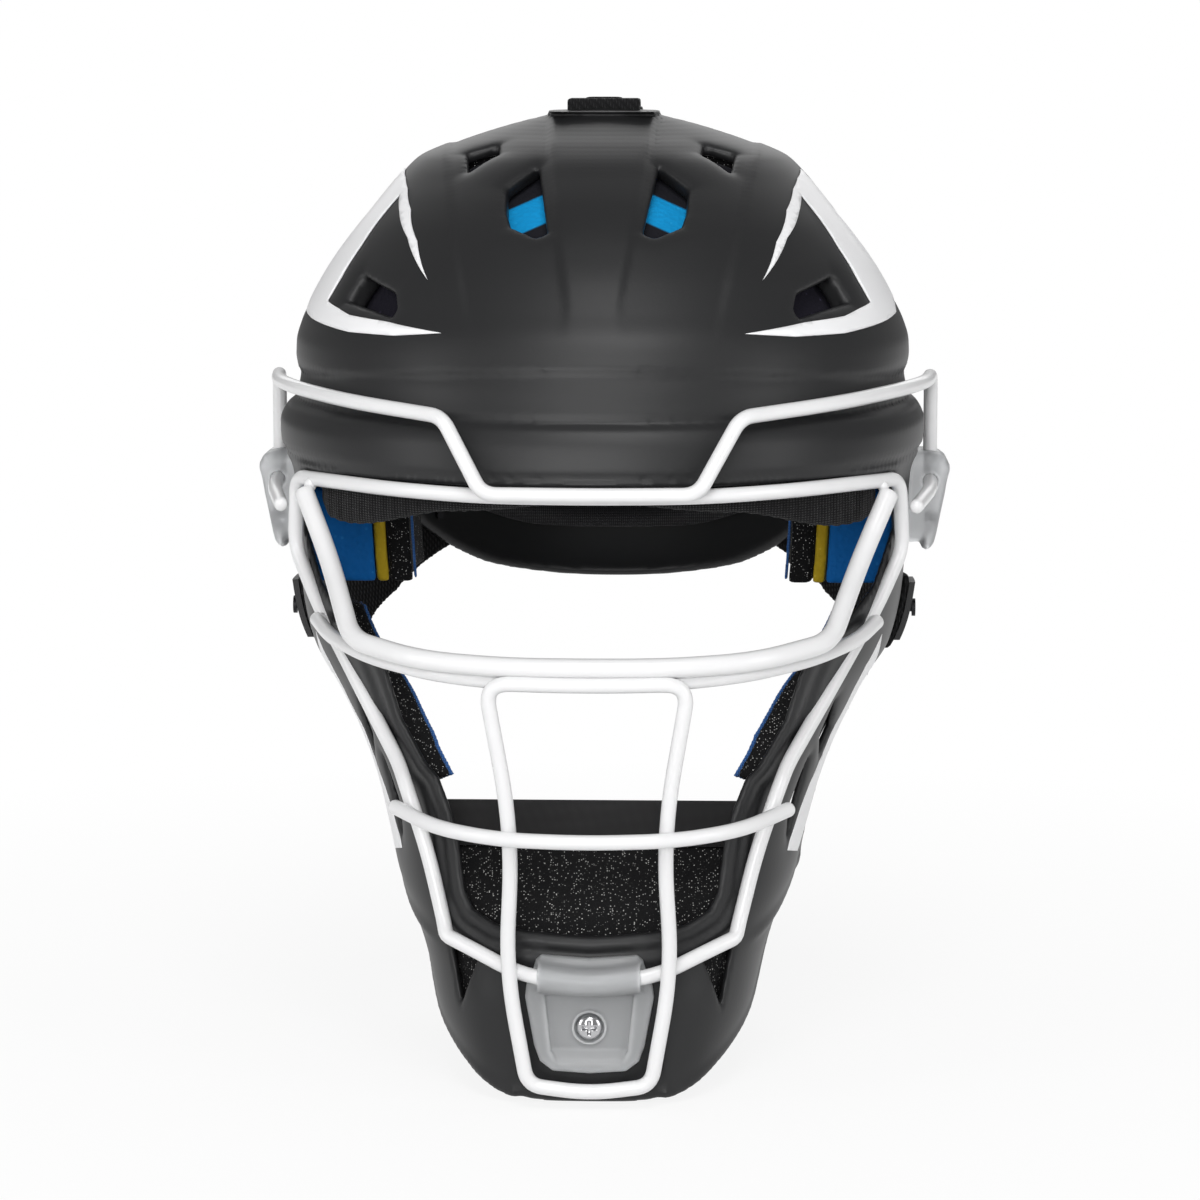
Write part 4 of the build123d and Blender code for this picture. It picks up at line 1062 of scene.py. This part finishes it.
def make_side_clip(side, word):
    low, high = side_box(side, (98, 6, 154), (118, 36, 214))
    room = Room(low, high, spacing(0.6))
    line = np.array([p for p in lines["brow_wire"] if p[0] * side > 95 and p[1] > -2])
    around = np.sqrt((room.y - CLIP_SCREW_AT[0]) ** 2 + (room.z - CLIP_SCREW_AT[1]) ** 2)
    dish = np.maximum(around - 4.7, 110.6 - side * room.x)
    solid = trim(room.front(SIDE_CLIP), (np.abs(room.y - 21.0) - 12.0, 5.0), (0.2 - room.out, 0.4), (-dish, 0.5))
    solid = np.maximum(solid, THIN + 0.07 - wire_distance(room, line))
    keep(net(solid, room, f"side_clip_clear_{word}", frosted), "helmet", "clip", f"side_clip_{word}")


def make_screw(name, place, facing):
    """A domed head with a cross recess; facing is the outward direction, along an axis."""
    half = 5.2
    room = Room([p - half for p in place], [p + half for p in place], spacing(0.22))
    axes = [room.x - place[0], room.y - place[1], room.z - place[2]]
    k = int(np.argmax(np.abs(facing)))
    out = axes[k] * facing[k]
    u, v = [axes[j] for j in range(3) if j != k]
    across = np.sqrt(u ** 2 + v ** 2)
    dome = (np.sqrt((across / 4.3) ** 2 + (np.maximum(out, 0) / 2.5) ** 2) - 1) * 2.5
    solid = np.maximum(dome, -1.8 - out)
    arm = 2.7 - 0.6 * np.clip(2.5 - out, 0, 3)
    arms = [np.maximum(np.abs(a) - arm, np.abs(b) - 0.55) for a, b in ((u, v), (v, u))]
    cross = np.maximum(np.minimum(*arms), 0.6 - out)
    solid = round_max(solid, -cross, 0.25)
    return net(solid, room, name, metal, relax=1)


keep(make_chin_clip(), "helmet", "clip", "chin_clip")
mirrored(make_side_clip)
chin_face = level_values(np.array([CHIN_SCREW_Z]))[1][0]
keep(make_screw("chin_screw", (0, chin_face - 1.3, CHIN_SCREW_Z), (0, -1, 0)), "helmet", "hardware", "clip_screws")
mirrored(lambda side, word: keep(
    make_screw("side_screw_" + word, (side * 111.0, *CLIP_SCREW_AT), (side, 0, 0)), "helmet", "hardware"))


def make_anchor():
    """The flat end of the top strap where it is caught on the crown."""
    room = Room((-18, 8, 300), (18, 30, 316), spacing(0.6))
    solid = room.box((-12.2, 12.5, 296), (12.2, 25.5, 311.9), 0.9)
    solid = round_max(solid, -(room.out + 0.2), 0.3)
    return net(solid, room, "crown_anchor", webbing)


keep(make_anchor(), "helmet", "moulded", "strap_anchor")

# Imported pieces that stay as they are, with their finishes

for packed_name, finish in {
    "clip_nuts": metal, "strap_keepers": moulded, "keeper_rivets": dark_metal, "plate_buckle": moulded,
    "strap_hooks": moulded, "hook_rivets": dark_metal,
}.items():
    finishes = frame["nodes"][packed_name].data.materials
    finishes.clear()
    finishes.append(finish)

# Floor, backdrop, lights and camera


def seen(nodes, first, *others):
    """1 for the named kinds of ray, otherwise 0."""
    path = nodes.add("LightPath")
    found = path[first]
    for kind in others:
        found = nodes.math("MAXIMUM", found, path[kind])
    return found


def mix_shaders(nodes, share, first, second, output):
    nodes.feed(output, {"Surface": nodes.add("MixShader", {0: share, 1: first[0], 2: second[0]})[0]})


world = bpy.data.worlds.new("studio")
bpy.context.scene.world = world
world.use_nodes = True
nodes = Nodes(world.node_tree)
ground = nodes.feed("Background", {"Color": (*WHITE, 1), "Strength": 0.3})
plain = nodes.add("Background", {"Color": (*WHITE, 1), "Strength": 1.0})
mix_shaders(nodes, seen(nodes, "Is Camera Ray", "Is Transmission Ray"), ground, plain, "World Output")

# The floor is matt for the light that it throws on the part, and seen as a pale glow that still shows the shadow
floor_finish, nodes = material("floor_pale", (0.9, 0.9, 0.9), 0.9)
glow = nodes.add("Emission", {"Strength": 1.0})
far_out = nodes.add("VectorMath", {0: nodes.place()}, operation="LENGTH")["Value"]
shown = nodes.math("MULTIPLY", seen(nodes, "Is Camera Ray", "Is Glossy Ray", "Is Transmission Ray"),
                   nodes.span(far_out, 0.86, 1.0, 0.12, 0.5))
mix_shaders(nodes, shown, nodes.feed(SHADER, {}), glow, "Material Output")
FLOOR_HALF, FLOOR_TOP = 6000, -1
corners = [(-FLOOR_HALF, -FLOOR_HALF), (FLOOR_HALF, -FLOOR_HALF), (FLOOR_HALF, FLOOR_HALF), (-FLOOR_HALF, FLOOR_HALF)]
floor = mesh_object("floor", [(x, y, FLOOR_TOP) for x, y in corners], [(0, 1, 2, 3)], floor_finish)

LIT_POINT = Vector((0, 0, 0.16))
for name, place, size, power in (
    ("key", (0.1, -1.05, 1.45), (0.6, 0.6), 10),
    ("front", (-0.15, -1.75, 0.55), (0.9, 0.8), 13),
    ("side_left", (-1.5, -0.9, 0.6), (0.6, 1.0), 6),
    ("side_right", (1.5, -0.9, 0.6), (0.6, 1.0), 6),
    ("back", (0.0, 1.5, 1.0), (1.6, 1.0), 7),
):
    data = bpy.data.lights.new(name, "AREA")
    data.shape = "RECTANGLE"
    data.size, data.size_y = size
    data.energy = power
    item = bpy.data.objects.new(name, data)
    item.location = place
    item.rotation_euler = (LIT_POINT - Vector(place)).to_track_quat("-Z", "Y").to_euler()
    bpy.context.scene.collection.objects.link(item)

DISTANCE = 1.4
TURN, RISE = radians(2.0), radians(8.0)
TARGET = Vector((0, -0.008, 0.145))
SENSOR, FRAME_PX, FOCAL_PX, SHIFT_PX = 36.0, 1200, 4167, -1.5
back = Vector((sin(TURN) * cos(RISE), -cos(TURN) * cos(RISE), sin(RISE)))
camera_data = bpy.data.cameras.new("camera")
camera_data.sensor_fit = "HORIZONTAL"
camera_data.sensor_width = SENSOR
camera_data.lens = SENSOR * FOCAL_PX / FRAME_PX
camera_data.shift_x = SHIFT_PX / FRAME_PX
camera = bpy.data.objects.new("camera", camera_data)
camera.location = TARGET + back * DISTANCE
camera.rotation_euler = (-back).to_track_quat("-Z", "Y").to_euler()
bpy.context.scene.collection.objects.link(camera)
bpy.context.scene.camera = camera
bpy.context.scene.view_settings.view_transform = "Standard"
